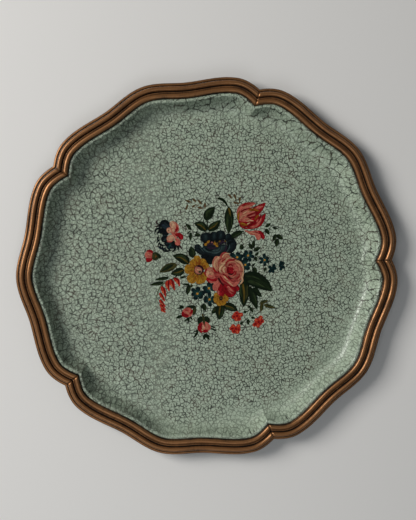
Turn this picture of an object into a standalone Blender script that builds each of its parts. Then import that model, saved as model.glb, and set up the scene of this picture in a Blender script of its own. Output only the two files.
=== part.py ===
"""A round serving tray with five shallow lobes, laid flat.

The pan is one pressed steel sheet: a flat floor, a coved wall that goes from round to lobed, a rolled-over
lip, a narrow flange, and an edge that is curled down round a stiffening wire. Five lengths of reeded
moulding lie on the flange, one to a lobe, and meet in a mitre at each notch.

Metres, +Z up. The origin is the centre of the floor's underside. A notch of the outline is on +X.
"""

import math

import bmesh
import bpy

# The outline, seen from above. The driving dimension is the radius to the middle of a lobe.
LOBES = 5
LOBE_RADIUS = 0.2000
NOTCH_RADIUS = LOBE_RADIUS - 0.0071
SHOULDER_RADIUS = LOBE_RADIUS - 0.0003
WAIST_RADIUS = LOBE_RADIUS - 0.0060
LOBE_ANGLE = 2 * math.pi / LOBES
SHOULDER_ANGLE = math.radians(7.2)  # from the notch to the bulge beside it
WAIST_ANGLE = math.radians(22.6)  # from the notch to the hollow between the bulge and the lobe's middle
NOTCH_SLOPE = 0.091  # metres of radius gained per radian on leaving the notch
STEPS_PER_LOBE = 20

# The sheet and the heights that it reaches.
SHEET = 0.0007
FLOOR_RADIUS = 0.1590
FLANGE_HEIGHT = 0.0175  # the flange's upper face
WALL_CURVE = 3.0  # 1 is a straight cone, more is a steeper wall with a softer cove at its foot
WALL_STEPS = 8

# The rim across its width, measured inwards from the outline.
LIP_INSET = 0.0197  # where the wall ends and the lip begins
LIP_HEIGHT = 0.0006  # how far the lip's crest stands above the flange
LIP_CREST_INSET = 0.0182
FLANGE_INSET = 0.0168
ROLL_RADIUS = 0.0016
ROLL_DROP = 0.0008  # from the flange's middle line down to the wire's centre
ROLL_START = math.radians(140)
ROLL_END = math.radians(-150)
ROLL_STEPS = 7
WIRE_RADIUS = 0.0006

# The moulding: inset from the outline and height above its own base, from the outside inwards.
MOULDING_SECTION = (
    (0.0036, 0.0000), (0.0036, 0.0008),
    (0.0041, 0.0027), (0.0049, 0.0038), (0.0059, 0.0042), (0.0070, 0.0037), (0.0079, 0.0025),  # main bead
    (0.0086, 0.0009), (0.0093, 0.0008),  # deep groove
    (0.0096, 0.0015), (0.0103, 0.0015),  # fillet
    (0.0106, 0.0009),
    (0.0110, 0.0022), (0.0119, 0.0031), (0.0129, 0.0034), (0.0140, 0.0029), (0.0149, 0.0016),  # inner bead
    (0.0154, 0.0007), (0.0163, 0.0007), (0.0163, 0.0000),  # inner step
)
SEAT_GAP = 0.0003  # between the moulding and the flange
MITRE_GAP_ANGLE = math.radians(0.1)  # between the ends of two mouldings

FLANGE_MIDDLE = FLANGE_HEIGHT - SHEET / 2
WIRE_HEIGHT = FLANGE_MIDDLE - ROLL_DROP
MOULDING_BASE = FLANGE_HEIGHT + SEAT_GAP


def start_afresh():
    for thing in list(bpy.data.objects):
        bpy.data.objects.remove(thing, do_unlink=True)
    collection = bpy.data.collections.new("lobed_tray")
    bpy.context.scene.collection.children.link(collection)
    return collection


def make_material(name, colour, roughness, metallic):
    material = bpy.data.materials.new(name)
    material.use_nodes = True
    shader = material.node_tree.nodes["Principled BSDF"]
    shader.inputs["Base Color"].default_value = (*colour, 1.0)
    shader.inputs["Roughness"].default_value = roughness
    shader.inputs["Metallic"].default_value = metallic
    return material


def hermite(a, b, slope_a, slope_b, span, t):
    """The cubic from a to b over span, at the fraction t, with the given slopes at its ends."""
    return (
        (2 * t**3 - 3 * t**2 + 1) * a
        + (t**3 - 2 * t**2 + t) * span * slope_a
        + (3 * t**2 - 2 * t**3) * b
        + (t**3 - t**2) * span * slope_b
    )


def outline_radius(angle):
    """The tray's outer radius: notch, shoulder, waist and middle of the lobe, the same both ways."""
    turn = angle % LOBE_ANGLE
    turn = min(turn, LOBE_ANGLE - turn)
    middle = LOBE_ANGLE / 2
    if turn < SHOULDER_ANGLE:
        t = turn / SHOULDER_ANGLE
        return hermite(NOTCH_RADIUS, SHOULDER_RADIUS, NOTCH_SLOPE, 0, SHOULDER_ANGLE, t)
    if turn < WAIST_ANGLE:
        span = WAIST_ANGLE - SHOULDER_ANGLE
        return hermite(SHOULDER_RADIUS, WAIST_RADIUS, 0, 0, span, (turn - SHOULDER_ANGLE) / span)
    span = middle - WAIST_ANGLE
    return hermite(WAIST_RADIUS, LOBE_RADIUS, 0, 0, span, (turn - WAIST_ANGLE) / span)


def inset_radius(angle, inset):
    """The radius of the line that runs at a distance inside the outline, mitred at the notches."""
    step = math.radians(0.05)
    radius = outline_radius(angle)
    turn = angle % LOBE_ANGLE
    ahead = step if turn < LOBE_ANGLE / 2 else -step
    slope = (outline_radius(angle + ahead) - radius) / step / radius
    return radius - inset * math.hypot(1, slope)


def on_plan(radius, angle, height):
    return (radius * math.cos(angle), radius * math.sin(angle), height)


def pan_section():
    """The sheet's middle line as (inset, height, share of the round floor), from the curled edge inwards."""
    section = []
    middle_radius = ROLL_RADIUS - SHEET / 2
    for i in range(ROLL_STEPS, -1, -1):
        turn = ROLL_START + (ROLL_END - ROLL_START) * i / ROLL_STEPS
        inset = ROLL_RADIUS - middle_radius * math.cos(turn)
        section.append((inset, WIRE_HEIGHT + middle_radius * math.sin(turn), 0))
    section.append((2 * ROLL_RADIUS + 0.0001, FLANGE_MIDDLE, 0))
    section.append((FLANGE_INSET, FLANGE_MIDDLE, 0))
    section.append((LIP_CREST_INSET, FLANGE_MIDDLE + LIP_HEIGHT, 0))
    floor = SHEET / 2
    for i in range(WALL_STEPS + 1):
        share = i / WALL_STEPS
        height = floor + (FLANGE_MIDDLE - floor) * (1 - share) ** WALL_CURVE
        section.append((LIP_INSET, height, share))
    return section


def add_pan(collection, material):
    """A loft from the lobed edge to the round floor, closed by the floor, then given the sheet's thickness."""
    around = LOBES * STEPS_PER_LOBE
    mesh = bpy.data.meshes.new("tray_pan")
    build = bmesh.new()
    rings = []
    for inset, height, share in pan_section():
        ring = []
        for i in range(around):
            angle = 2 * math.pi * i / around
            radius = (1 - share) * inset_radius(angle, inset) + share * FLOOR_RADIUS
            ring.append(build.verts.new(on_plan(radius, angle, height)))
        rings.append(ring)
    for outer, inner in zip(rings, rings[1:]):
        for i in range(around):
            j = (i + 1) % around
            build.faces.new((outer[i], outer[j], inner[j], inner[i]))
    build.faces.new(rings[-1])
    build.to_mesh(mesh)
    build.free()
    pan = bpy.data.objects.new("tray_pan", mesh)
    collection.objects.link(pan)
    mesh.materials.append(material)
    mesh.shade_smooth()
    mesh.set_sharp_from_angle(angle=math.radians(40))
    shell = pan.modifiers.new("sheet", "SOLIDIFY")
    shell.thickness = SHEET
    shell.offset = 0
    shell.use_even_offset = True
    return pan


def add_edge_wire(collection, material):
    """The stiffening wire, which lies inside the curled edge all the way round."""
    around = LOBES * STEPS_PER_LOBE
    curve = bpy.data.curves.new("edge_wire", "CURVE")
    curve.dimensions = "3D"
    curve.bevel_depth = WIRE_RADIUS
    curve.bevel_resolution = 1
    spline = curve.splines.new("POLY")
    spline.points.add(around - 1)
    for i, point in enumerate(spline.points):
        angle = 2 * math.pi * i / around
        point.co = (*on_plan(inset_radius(angle, ROLL_RADIUS), angle, WIRE_HEIGHT), 1)
    spline.use_cyclic_u = True
    wire = bpy.data.objects.new("edge_wire", curve)
    collection.objects.link(wire)
    curve.materials.append(material)
    return wire


def add_rim_moulding(collection, number, material):
    """One lobe's length of reeded moulding, with both ends cut on the lines through the tray's centre."""
    name = f"rim_moulding_{number}"
    mesh = bpy.data.meshes.new(name)
    build = bmesh.new()
    first = (number - 1) * LOBE_ANGLE + MITRE_GAP_ANGLE / 2
    length = LOBE_ANGLE - MITRE_GAP_ANGLE
    sections = []
    for i in range(STEPS_PER_LOBE + 1):
        angle = first + length * i / STEPS_PER_LOBE
        section = []
        for inset, height in MOULDING_SECTION:
            place = on_plan(inset_radius(angle, inset), angle, MOULDING_BASE + height)
            section.append(build.verts.new(place))
        sections.append(section)
    points = len(MOULDING_SECTION)
    for near, far in zip(sections, sections[1:]):
        for i in range(points):
            j = (i + 1) % points
            build.faces.new((near[i], near[j], far[j], far[i]))
    build.faces.new(sections[0])
    build.faces.new(sections[-1])
    bmesh.ops.recalc_face_normals(build, faces=build.faces)
    build.to_mesh(mesh)
    build.free()
    moulding = bpy.data.objects.new(name, mesh)
    collection.objects.link(moulding)
    mesh.materials.append(material)
    mesh.shade_smooth()
    mesh.set_sharp_from_angle(angle=math.radians(40))
    return moulding


def build_tray():
    collection = start_afresh()
    celadon_lacquer = make_material("celadon_lacquer", (0.20, 0.24, 0.18), 0.35, 0.0)
    copper_gilt = make_material("copper_gilt", (0.40, 0.17, 0.07), 0.35, 1.0)
    drawn_wire = make_material("drawn_wire", (0.35, 0.35, 0.36), 0.45, 1.0)
    add_pan(collection, celadon_lacquer)
    add_edge_wire(collection, drawn_wire)
    for number in range(1, LOBES + 1):
        add_rim_moulding(collection, number, copper_gilt)


build_tray()
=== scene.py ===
"""The looks of a round five-lobed tray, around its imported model.

A pressed pan in grey-green crackled lacquer, black underneath, a gilded wired edge, five mitred lengths of
reeded copper-gilt moulding, and a bouquet laid on the floor in brush strokes.

The section lines and the strokes are guides. Geometry Nodes trees sweep them into closed pieces.
"""
import math
from functools import partialmethod

import bmesh
import bpy
from mathutils import Matrix, Vector


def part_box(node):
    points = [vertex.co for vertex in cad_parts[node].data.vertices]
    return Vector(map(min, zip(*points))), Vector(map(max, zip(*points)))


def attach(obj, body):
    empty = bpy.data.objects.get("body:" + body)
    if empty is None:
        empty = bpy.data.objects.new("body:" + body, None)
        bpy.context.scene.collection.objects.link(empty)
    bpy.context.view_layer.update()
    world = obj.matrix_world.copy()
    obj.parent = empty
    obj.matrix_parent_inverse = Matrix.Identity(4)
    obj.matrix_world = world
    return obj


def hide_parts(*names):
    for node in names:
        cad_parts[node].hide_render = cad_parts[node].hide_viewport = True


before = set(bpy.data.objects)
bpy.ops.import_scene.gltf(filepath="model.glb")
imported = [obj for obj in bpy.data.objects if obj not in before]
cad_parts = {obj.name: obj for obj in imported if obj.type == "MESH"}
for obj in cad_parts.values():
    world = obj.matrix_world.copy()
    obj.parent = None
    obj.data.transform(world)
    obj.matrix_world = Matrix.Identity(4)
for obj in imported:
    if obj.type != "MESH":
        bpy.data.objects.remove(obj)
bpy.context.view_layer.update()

# What the imported model gives: the tray's radius, the wire's height and the mouldings' base and relief.
MM = 0.001
PAN_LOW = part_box("tray_pan")[0]
WIRE_LOW, WIRE_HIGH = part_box("edge_wire")
MOULDING_LOW, MOULDING_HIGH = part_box("rim_moulding_1")
LOBE_RADIUS = -PAN_LOW.x  # the middle of a lobe is on -X
WIRE_HEIGHT = (WIRE_LOW.z + WIRE_HIGH.z) / 2
MOULDING_BASE = MOULDING_LOW.z
RELIEF = MOULDING_HIGH.z - MOULDING_LOW.z

# The outline, as the pan has it.
LOBES = 5
LOBE_ANGLE = 2 * math.pi / LOBES
NOTCH_RADIUS = LOBE_RADIUS - 7.1 * MM
SHOULDER_RADIUS = LOBE_RADIUS - 0.3 * MM
WAIST_RADIUS = LOBE_RADIUS - 6.0 * MM
SHOULDER_ANGLE = math.radians(7.2)
WAIST_ANGLE = math.radians(22.6)
NOTCH_SLOPE = 0.091
EDGE_EASE = 0.25 * MM  # keeps the fine edge inside the faceted pan
MEAN_RADIUS = LOBE_RADIUS - 2.8 * MM  # of the whole outline, for laying out sections

# The pan's section.
SHEET = 0.7 * MM
SEAT_GAP = 0.3 * MM  # between the mouldings and the flange
FLANGE_TOP = MOULDING_BASE - SEAT_GAP
FLANGE_END = 3.2 * MM  # inset, where the curled edge begins
FLOOR_RADIUS = 159 * MM
LIP_INSET = 19.7 * MM
LIP = ((19.7, 0), (19.1, 0.48), (18.2, 0.60), (17.3, 0.30), (16.8, 0))  # inset and rise, in millimetres
ROLL_RADIUS = 1.6 * MM
ROLL_START, ROLL_END = math.radians(140), math.radians(-150)
ROLL_GILDING, ROLL_CREST = 1.3, math.radians(100)  # how strong, and the angle at which it is fullest
WALL_CURVE = 3.0
COAT = 0.06 * MM  # the lacquer stands this far above the steel
FLOOR_TOP = SHEET + COAT

# The thickness of one stroke of paint, and how the strokes' undersides are stacked, in strokes.
FILM = 0.03 * MM
FIRST_LAYER, LAYER_PITCH = 0.4, 1.15
FINEST_STROKE = 0.03 * MM  # no half width goes under this
NARROW_LEAF = 2.6  # millimetres; a leaf up to this width has no light stroke

# How finely the sections are divided, and how many facets they have round the tray.
FLOOR_STEPS, WALL_STEPS, LIP_STEPS = 40, 32, 4
ROLL_STEPS, WIRE_STEPS, MOULDING_STEPS = 28, 12, 84
FACETS_PER_LOBE, MOULDING_FACETS = 150, 130
PAN_FACETS, EDGE_FACETS = 300, 400


# ------------------------------------------------------------------ node helpers
def put(tree, kind, inputs=None, **settings):
    """Adds a node. Settings are its properties; inputs are values, or the sockets that feed it."""
    node = tree.nodes.new(kind)
    for name, value in settings.items():
        setattr(node, name, value)
    for place, value in (inputs or {}).items():
        if isinstance(value, bpy.types.NodeSocket):
            tree.links.new(value, node.inputs[place])
        else:
            node.inputs[place].default_value = value
    return node


def figure(tree, operation, a, b=0.0):
    """One step of arithmetic."""
    return put(tree, "ShaderNodeMath", {0: a, 1: b}, operation=operation).outputs[0]


def plus(tree, a, b):
    return figure(tree, "ADD", a, b)


def minus(tree, a, b):
    return figure(tree, "SUBTRACT", a, b)


def times(tree, a, b):
    return figure(tree, "MULTIPLY", a, b)


def plus_vector(tree, a, b):
    return put(tree, "ShaderNodeVectorMath", {0: a, 1: b}, operation="ADD").outputs[0]


def ease(tree, value, low, high, start=0.0, end=1.0):
    """Goes smoothly from start to end while value goes from low to high."""
    settings = {"Value": value, "From Min": low, "From Max": high, "To Min": start, "To Max": end}
    return put(tree, "ShaderNodeMapRange", settings, interpolation_type="SMOOTHSTEP").outputs[0]


def blend_colours(tree, share, first, second, mode="MIX"):
    inputs = {0: share, 6: first, 7: second}
    return put(tree, "ShaderNodeMix", inputs, data_type="RGBA", blend_type=mode).outputs[2]


def named(tree, name, kind="FLOAT"):
    return put(tree, "GeometryNodeInputNamedAttribute", {"Name": name}, data_type=kind).outputs[0]


def stored(tree, geometry, name, value, kind="FLOAT", domain="POINT"):
    inputs = {"Geometry": geometry, "Name": name, "Value": value}
    node = put(tree, "GeometryNodeStoreNamedAttribute", inputs, data_type=kind, domain=domain)
    return node.outputs[0]


def new_growth(name, *sockets):
    """An empty Geometry Nodes tree with the given named inputs, (name, kind, default)."""
    tree = bpy.data.node_groups.new(name, "GeometryNodeTree")
    tree.interface.new_socket("Geometry", in_out="INPUT", socket_type="NodeSocketGeometry")
    for label, kind, default in sockets:
        socket = tree.interface.new_socket(label, in_out="INPUT", socket_type="NodeSocket" + kind)
        if default is not None:
            socket.default_value = default
    tree.interface.new_socket("Geometry", in_out="OUTPUT", socket_type="NodeSocketGeometry")
    return tree, tree.nodes.new("NodeGroupInput").outputs


def finish_growth(tree, geometry, material):
    """Ends a tree: instances made real, shaded smooth, and given its material."""
    real = put(tree, "GeometryNodeRealizeInstances", {"Geometry": geometry}).outputs[0]
    smooth = put(tree, "GeometryNodeSetShadeSmooth", {"Geometry": real}).outputs[0]
    done = put(tree, "GeometryNodeSetMaterial", {"Geometry": smooth, "Material": material}).outputs[0]
    put(tree, "NodeGroupOutput", {"Geometry": done})


def guide_object(name, places, edges=(), **attributes):
    """A mesh of points, with edges along its lines, that carries named numbers and colours on its points."""
    mesh = bpy.data.meshes.new(name + "_guide")
    mesh.from_pydata([tuple(p) for p in places], list(edges), [])
    for label, values in attributes.items():
        if isinstance(values[0], (int, float)):
            layer = mesh.attributes.new(label, "FLOAT", "POINT")
            layer.data.foreach_set("value", list(values))
        else:
            layer = mesh.attributes.new(label, "FLOAT_COLOR", "POINT")
            layer.data.foreach_set("color", [c for v in values for c in (*v, 1.0)])
    guide = bpy.data.objects.new(name + "_guide", mesh)
    bpy.context.scene.collection.objects.link(guide)
    return guide


def grow(name, tree, guide, **inputs):
    """Runs a tree on its guide, and keeps the result as a plain mesh at the origin."""
    modifier = guide.modifiers.new(tree.name, "NODES")
    modifier.node_group = tree
    for item in tree.interface.items_tree:
        label = item.name.lower().replace(" ", "_")
        if item.in_out == "INPUT" and label in inputs:
            modifier[item.identifier] = inputs[label]
    bpy.context.view_layer.update()
    evaluated = guide.evaluated_get(bpy.context.evaluated_depsgraph_get())
    mesh = bpy.data.meshes.new_from_object(evaluated)
    mesh.name = name
    piece = bpy.data.objects.new(name, mesh)
    bpy.context.scene.collection.objects.link(piece)
    guide.modifiers.remove(modifier)
    bpy.data.objects.remove(guide, do_unlink=True)
    return piece


# ------------------------------------------------------------------ the outline and the section lines
def hermite(a, b, slope_a, slope_b, span, t):
    """The cubic from a to b over span, at the fraction t, with the given slopes at its ends."""
    return (
        (2 * t**3 - 3 * t**2 + 1) * a
        + (t**3 - 2 * t**2 + t) * span * slope_a
        + (3 * t**2 - 2 * t**3) * b
        + (t**3 - t**2) * span * slope_b
    )


def outline_radius(angle):
    """The tray's outer radius: notch, shoulder, waist and middle of the lobe, the same both ways."""
    turn = angle % LOBE_ANGLE
    turn = min(turn, LOBE_ANGLE - turn)
    middle = LOBE_ANGLE / 2
    if turn < SHOULDER_ANGLE:
        t = turn / SHOULDER_ANGLE
        return hermite(NOTCH_RADIUS, SHOULDER_RADIUS, NOTCH_SLOPE, 0, SHOULDER_ANGLE, t)
    if turn < WAIST_ANGLE:
        span = WAIST_ANGLE - SHOULDER_ANGLE
        return hermite(SHOULDER_RADIUS, WAIST_RADIUS, 0, 0, span, (turn - SHOULDER_ANGLE) / span)
    span = middle - WAIST_ANGLE
    return hermite(WAIST_RADIUS, LOBE_RADIUS, 0, 0, span, (turn - WAIST_ANGLE) / span)


def mitre_stretch(angle):
    """How much wider the rim is along a radius than square to the outline."""
    step = math.radians(0.05)
    turn = angle % LOBE_ANGLE
    ahead = step if turn < LOBE_ANGLE / 2 else -step
    radius = outline_radius(angle)
    return math.hypot(1, (outline_radius(angle + ahead) - radius) / step / radius)


def wall_radius(share):
    """The nominal radius of a wall point; share is 0 under the lip and 1 at the foot."""
    return (1 - share) * (MEAN_RADIUS - LIP_INSET) + share * FLOOR_RADIUS


def offset_line(line, distance):
    """A section line moved sideways, to the left of its own direction."""
    moved = []
    for i, (radius, height) in enumerate(line):
        before, after = line[max(i - 1, 0)], line[min(i + 1, len(line) - 1)]
        along = Vector((after[0] - before[0], after[1] - before[1])).normalized()
        moved.append((radius - distance * along.y, height + distance * along.x))
    return moved


def round_corners(line, steps):
    """A Catmull-Rom curve through the points of a section line."""
    points = [Vector(p) for p in (line[0], *line, line[-1])]
    curve = []
    for a, b, c, d in zip(points, points[1:], points[2:], points[3:]):
        for i in range(steps):
            t = i / steps
            curve.append(
                0.5 * (2 * b + (c - a) * t + (2 * a - 5 * b + 4 * c - d) * t**2
                       + (3 * b - a - 3 * c + d) * t**3)
            )
    return [tuple(p) for p in (*curve, points[-1])]


def floor_line():
    """The middle of the sheet along the floor, from the centre out to the foot of the wall."""
    return [(FLOOR_RADIUS * i / FLOOR_STEPS, SHEET / 2) for i in range(FLOOR_STEPS + 1)]


def wall_line():
    """The middle of the sheet up the cove and the wall, over the lip and out along the flange."""
    middle = FLANGE_TOP - SHEET / 2
    line = []
    for i in range(WALL_STEPS + 1):
        share = 1 - i / WALL_STEPS
        height = SHEET / 2 + (middle - SHEET / 2) * (1 - share) ** WALL_CURVE
        line.append((wall_radius(share), height))
    lip = [(MEAN_RADIUS - inset * MM, middle + rise * MM) for inset, rise in LIP]
    return line[:-1] + round_corners(lip, LIP_STEPS) + [(MEAN_RADIUS - FLANGE_END, middle)]


def roll_line(radius):
    """Round the curled edge, from the flange over the top and back underneath, gilded on top."""
    line = []
    for i in range(ROLL_STEPS + 1):
        turn = ROLL_START + (ROLL_END - ROLL_START) * i / ROLL_STEPS
        inset = ROLL_RADIUS - radius * math.cos(turn)
        gilding = max(0.0, min(1.0, ROLL_GILDING * math.cos(turn - ROLL_CREST)))
        line.append((MEAN_RADIUS - inset, WIRE_HEIGHT + radius * math.sin(turn), gilding))
    return line


# Each ridge: its middle (inset), half width, foot and crest heights, in millimetres, and its gilding.
REEDS = (
    (5.9, 2.75, 0.7, RELIEF / MM, 1.0),
    (9.95, 0.65, 0.8, 1.6, 0.8),
    (13.2, 2.75, 0.6, 3.4, 1.0),
)
MOULDING_OUTER, MOULDING_STEP, MOULDING_INNER = 3.6, 15.2, 16.3
GROOVE_HEIGHT, GROOVE_GILDING, STEP_GILDING = 0.7, 0.05, 0.45


def moulding_line():
    """The moulding's section, all the way round, as (radius, height, how much gilding is left)."""
    line = []
    for i in range(MOULDING_STEPS + 1):
        inset = MOULDING_OUTER + (MOULDING_INNER - MOULDING_OUTER) * i / MOULDING_STEPS
        height, gilding = GROOVE_HEIGHT, GROOVE_GILDING if inset < MOULDING_STEP else STEP_GILDING
        for middle, half_width, foot, crest, left in REEDS:
            reach = 1 - ((inset - middle) / half_width) ** 2
            if reach > 0:
                height = max(height, foot + (crest - foot) * math.sqrt(reach))
                gilding = max(gilding, left * min(1.0, 2.0 * reach))
        line.append((MEAN_RADIUS - inset * MM, MOULDING_BASE + height * MM, gilding))
    foot = [(MEAN_RADIUS - inset * MM, MOULDING_BASE, 0.0) for inset in (MOULDING_INNER, MOULDING_OUTER)]
    return line + foot + line[:1]


# ------------------------------------------------------------------ growth: a section swept round the outline
def lobed_sweep_growth():
    """Stands a copy of the section at every station round the tray, and skins them into one surface."""
    tree, given = new_growth(
        "lobed_sweep",
        ("Section", "Object", None),
        ("Floor Radius", "Float", FLOOR_RADIUS),
        ("Material", "Material", None),
    )
    stations = given["Geometry"]
    section = put(tree, "GeometryNodeObjectInfo", {"Object": given["Section"]}).outputs["Geometry"]

    def count(geometry):
        return put(tree, "GeometryNodeAttributeDomainSize", {"Geometry": geometry}).outputs[0]

    across = count(section)
    grid = put(tree, "GeometryNodeMeshGrid", {"Vertices X": count(stations), "Vertices Y": across})
    index = put(tree, "GeometryNodeInputIndex").outputs[0]
    station = figure(tree, "FLOOR", figure(tree, "DIVIDE", index, across))
    point = minus(tree, index, times(tree, station, across))

    def read(geometry, label, place):
        inputs = {"Geometry": geometry, "Value": named(tree, label), "Index": place}
        return put(tree, "GeometryNodeSampleIndex", inputs).outputs[0]

    angle = read(stations, "angle", station)
    reach = read(stations, "reach", station)
    stretch = read(stations, "stretch", station)
    inset = read(section, "inset", point)
    height = read(section, "height", point)
    share = read(section, "share", point)
    core = read(section, "core", point)
    gilding = read(section, "gilding", point)
    lobed = minus(tree, reach, times(tree, inset, stretch))
    floor = times(tree, core, given["Floor Radius"])
    radius = plus(tree, times(tree, lobed, minus(tree, 1.0, share)), times(tree, floor, share))
    place = put(tree, "ShaderNodeCombineXYZ", {
        0: times(tree, radius, figure(tree, "COSINE", angle)),
        1: times(tree, radius, figure(tree, "SINE", angle)),
        2: height,
    }).outputs[0]
    shape = grid.outputs["Mesh"]
    shape = stored(tree, shape, "around", times(tree, angle, reach))
    shape = stored(tree, shape, "inset", inset)
    shape = stored(tree, shape, "gilding", gilding)
    shape = stored(tree, shape, "place", place, "FLOAT_VECTOR")
    shape = put(tree, "GeometryNodeSetPosition", {
        "Geometry": shape, "Position": named(tree, "place", "FLOAT_VECTOR")}).outputs[0]
    shape = put(tree, "GeometryNodeRemoveAttribute", {"Geometry": shape, "Name": "place"}).outputs[0]
    shape = put(tree, "GeometryNodeMergeByDistance", {"Geometry": shape, "Distance": 0.002 * MM}).outputs[0]
    finish_growth(tree, shape, given["Material"])
    return tree


def sweep_round(name, tree, line, material, first=0.0, length=2 * math.pi, facets=None):
    """Sweeps a section line round the outline, from the first angle over the length."""
    facets = facets or round(FACETS_PER_LOBE * length / LOBE_ANGLE)
    angles = [first + length * i / facets for i in range(facets + 1)]
    inner = MEAN_RADIUS - LIP_INSET
    radii = [point[0] for point in line]
    shares = [min(1.0, max(0.0, (inner - r) / (inner - FLOOR_RADIUS))) for r in radii]
    section = guide_object(
        name + "_section", [(point[0], 0, point[1]) for point in line],
        inset=[min(MEAN_RADIUS - r, LIP_INSET) for r in radii],
        height=[point[1] for point in line],
        gilding=[point[2] if len(point) > 2 else 1.0 for point in line],
        share=shares,
        core=[min(1.0, r / FLOOR_RADIUS) for r in radii],
    )
    stations = guide_object(
        name, [(0, 0, 0)] * len(angles),
        angle=angles,
        reach=[outline_radius(a) - EDGE_EASE for a in angles],
        stretch=[mitre_stretch(a) for a in angles],
    )
    piece = grow(name, tree, stations, section=section, material=material)
    bpy.data.objects.remove(section, do_unlink=True)
    return piece


def close_up(piece):
    """Caps the open ends, and turns the faces of a closed solid outwards."""
    build = bmesh.new()
    build.from_mesh(piece.data)
    bmesh.ops.holes_fill(build, edges=build.edges[:], sides=0)
    bmesh.ops.recalc_face_normals(build, faces=build.faces[:])
    build.to_mesh(piece.data)
    build.free()


def face_up(piece):
    """Turns a coat's faces to the sky."""
    build = bmesh.new()
    build.from_mesh(piece.data)
    if sum(face.normal.z for face in build.faces) < 0:
        bmesh.ops.reverse_faces(build, faces=build.faces[:])
    build.to_mesh(piece.data)
    build.free()


# ------------------------------------------------------------------ finishes
def new_finish(name, **values):
    material = bpy.data.materials.new(name)
    material.use_nodes = True
    tree = material.node_tree
    shader = tree.nodes["Principled BSDF"]
    for label, value in values.items():
        shader.inputs[label.replace("_", " ")].default_value = value
    return material, tree, shader


def link(tree, source, shader, label):
    tree.links.new(source, shader.inputs[label])


def noise(tree, place, scale, detail=2.0, roughness=0.5):
    inputs = {"Vector": place, "Scale": scale, "Detail": detail, "Roughness": roughness}
    return put(tree, "ShaderNodeTexNoise", inputs).outputs[0]


def add_bump(tree, shader, height, strength, distance):
    bump = put(tree, "ShaderNodeBump", {"Height": height, "Strength": strength, "Distance": distance})
    link(tree, bump.outputs[0], shader, "Normal")


def attribute(tree, name, output="Fac"):
    return put(tree, "ShaderNodeAttribute", attribute_name=name).outputs[output]


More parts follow.
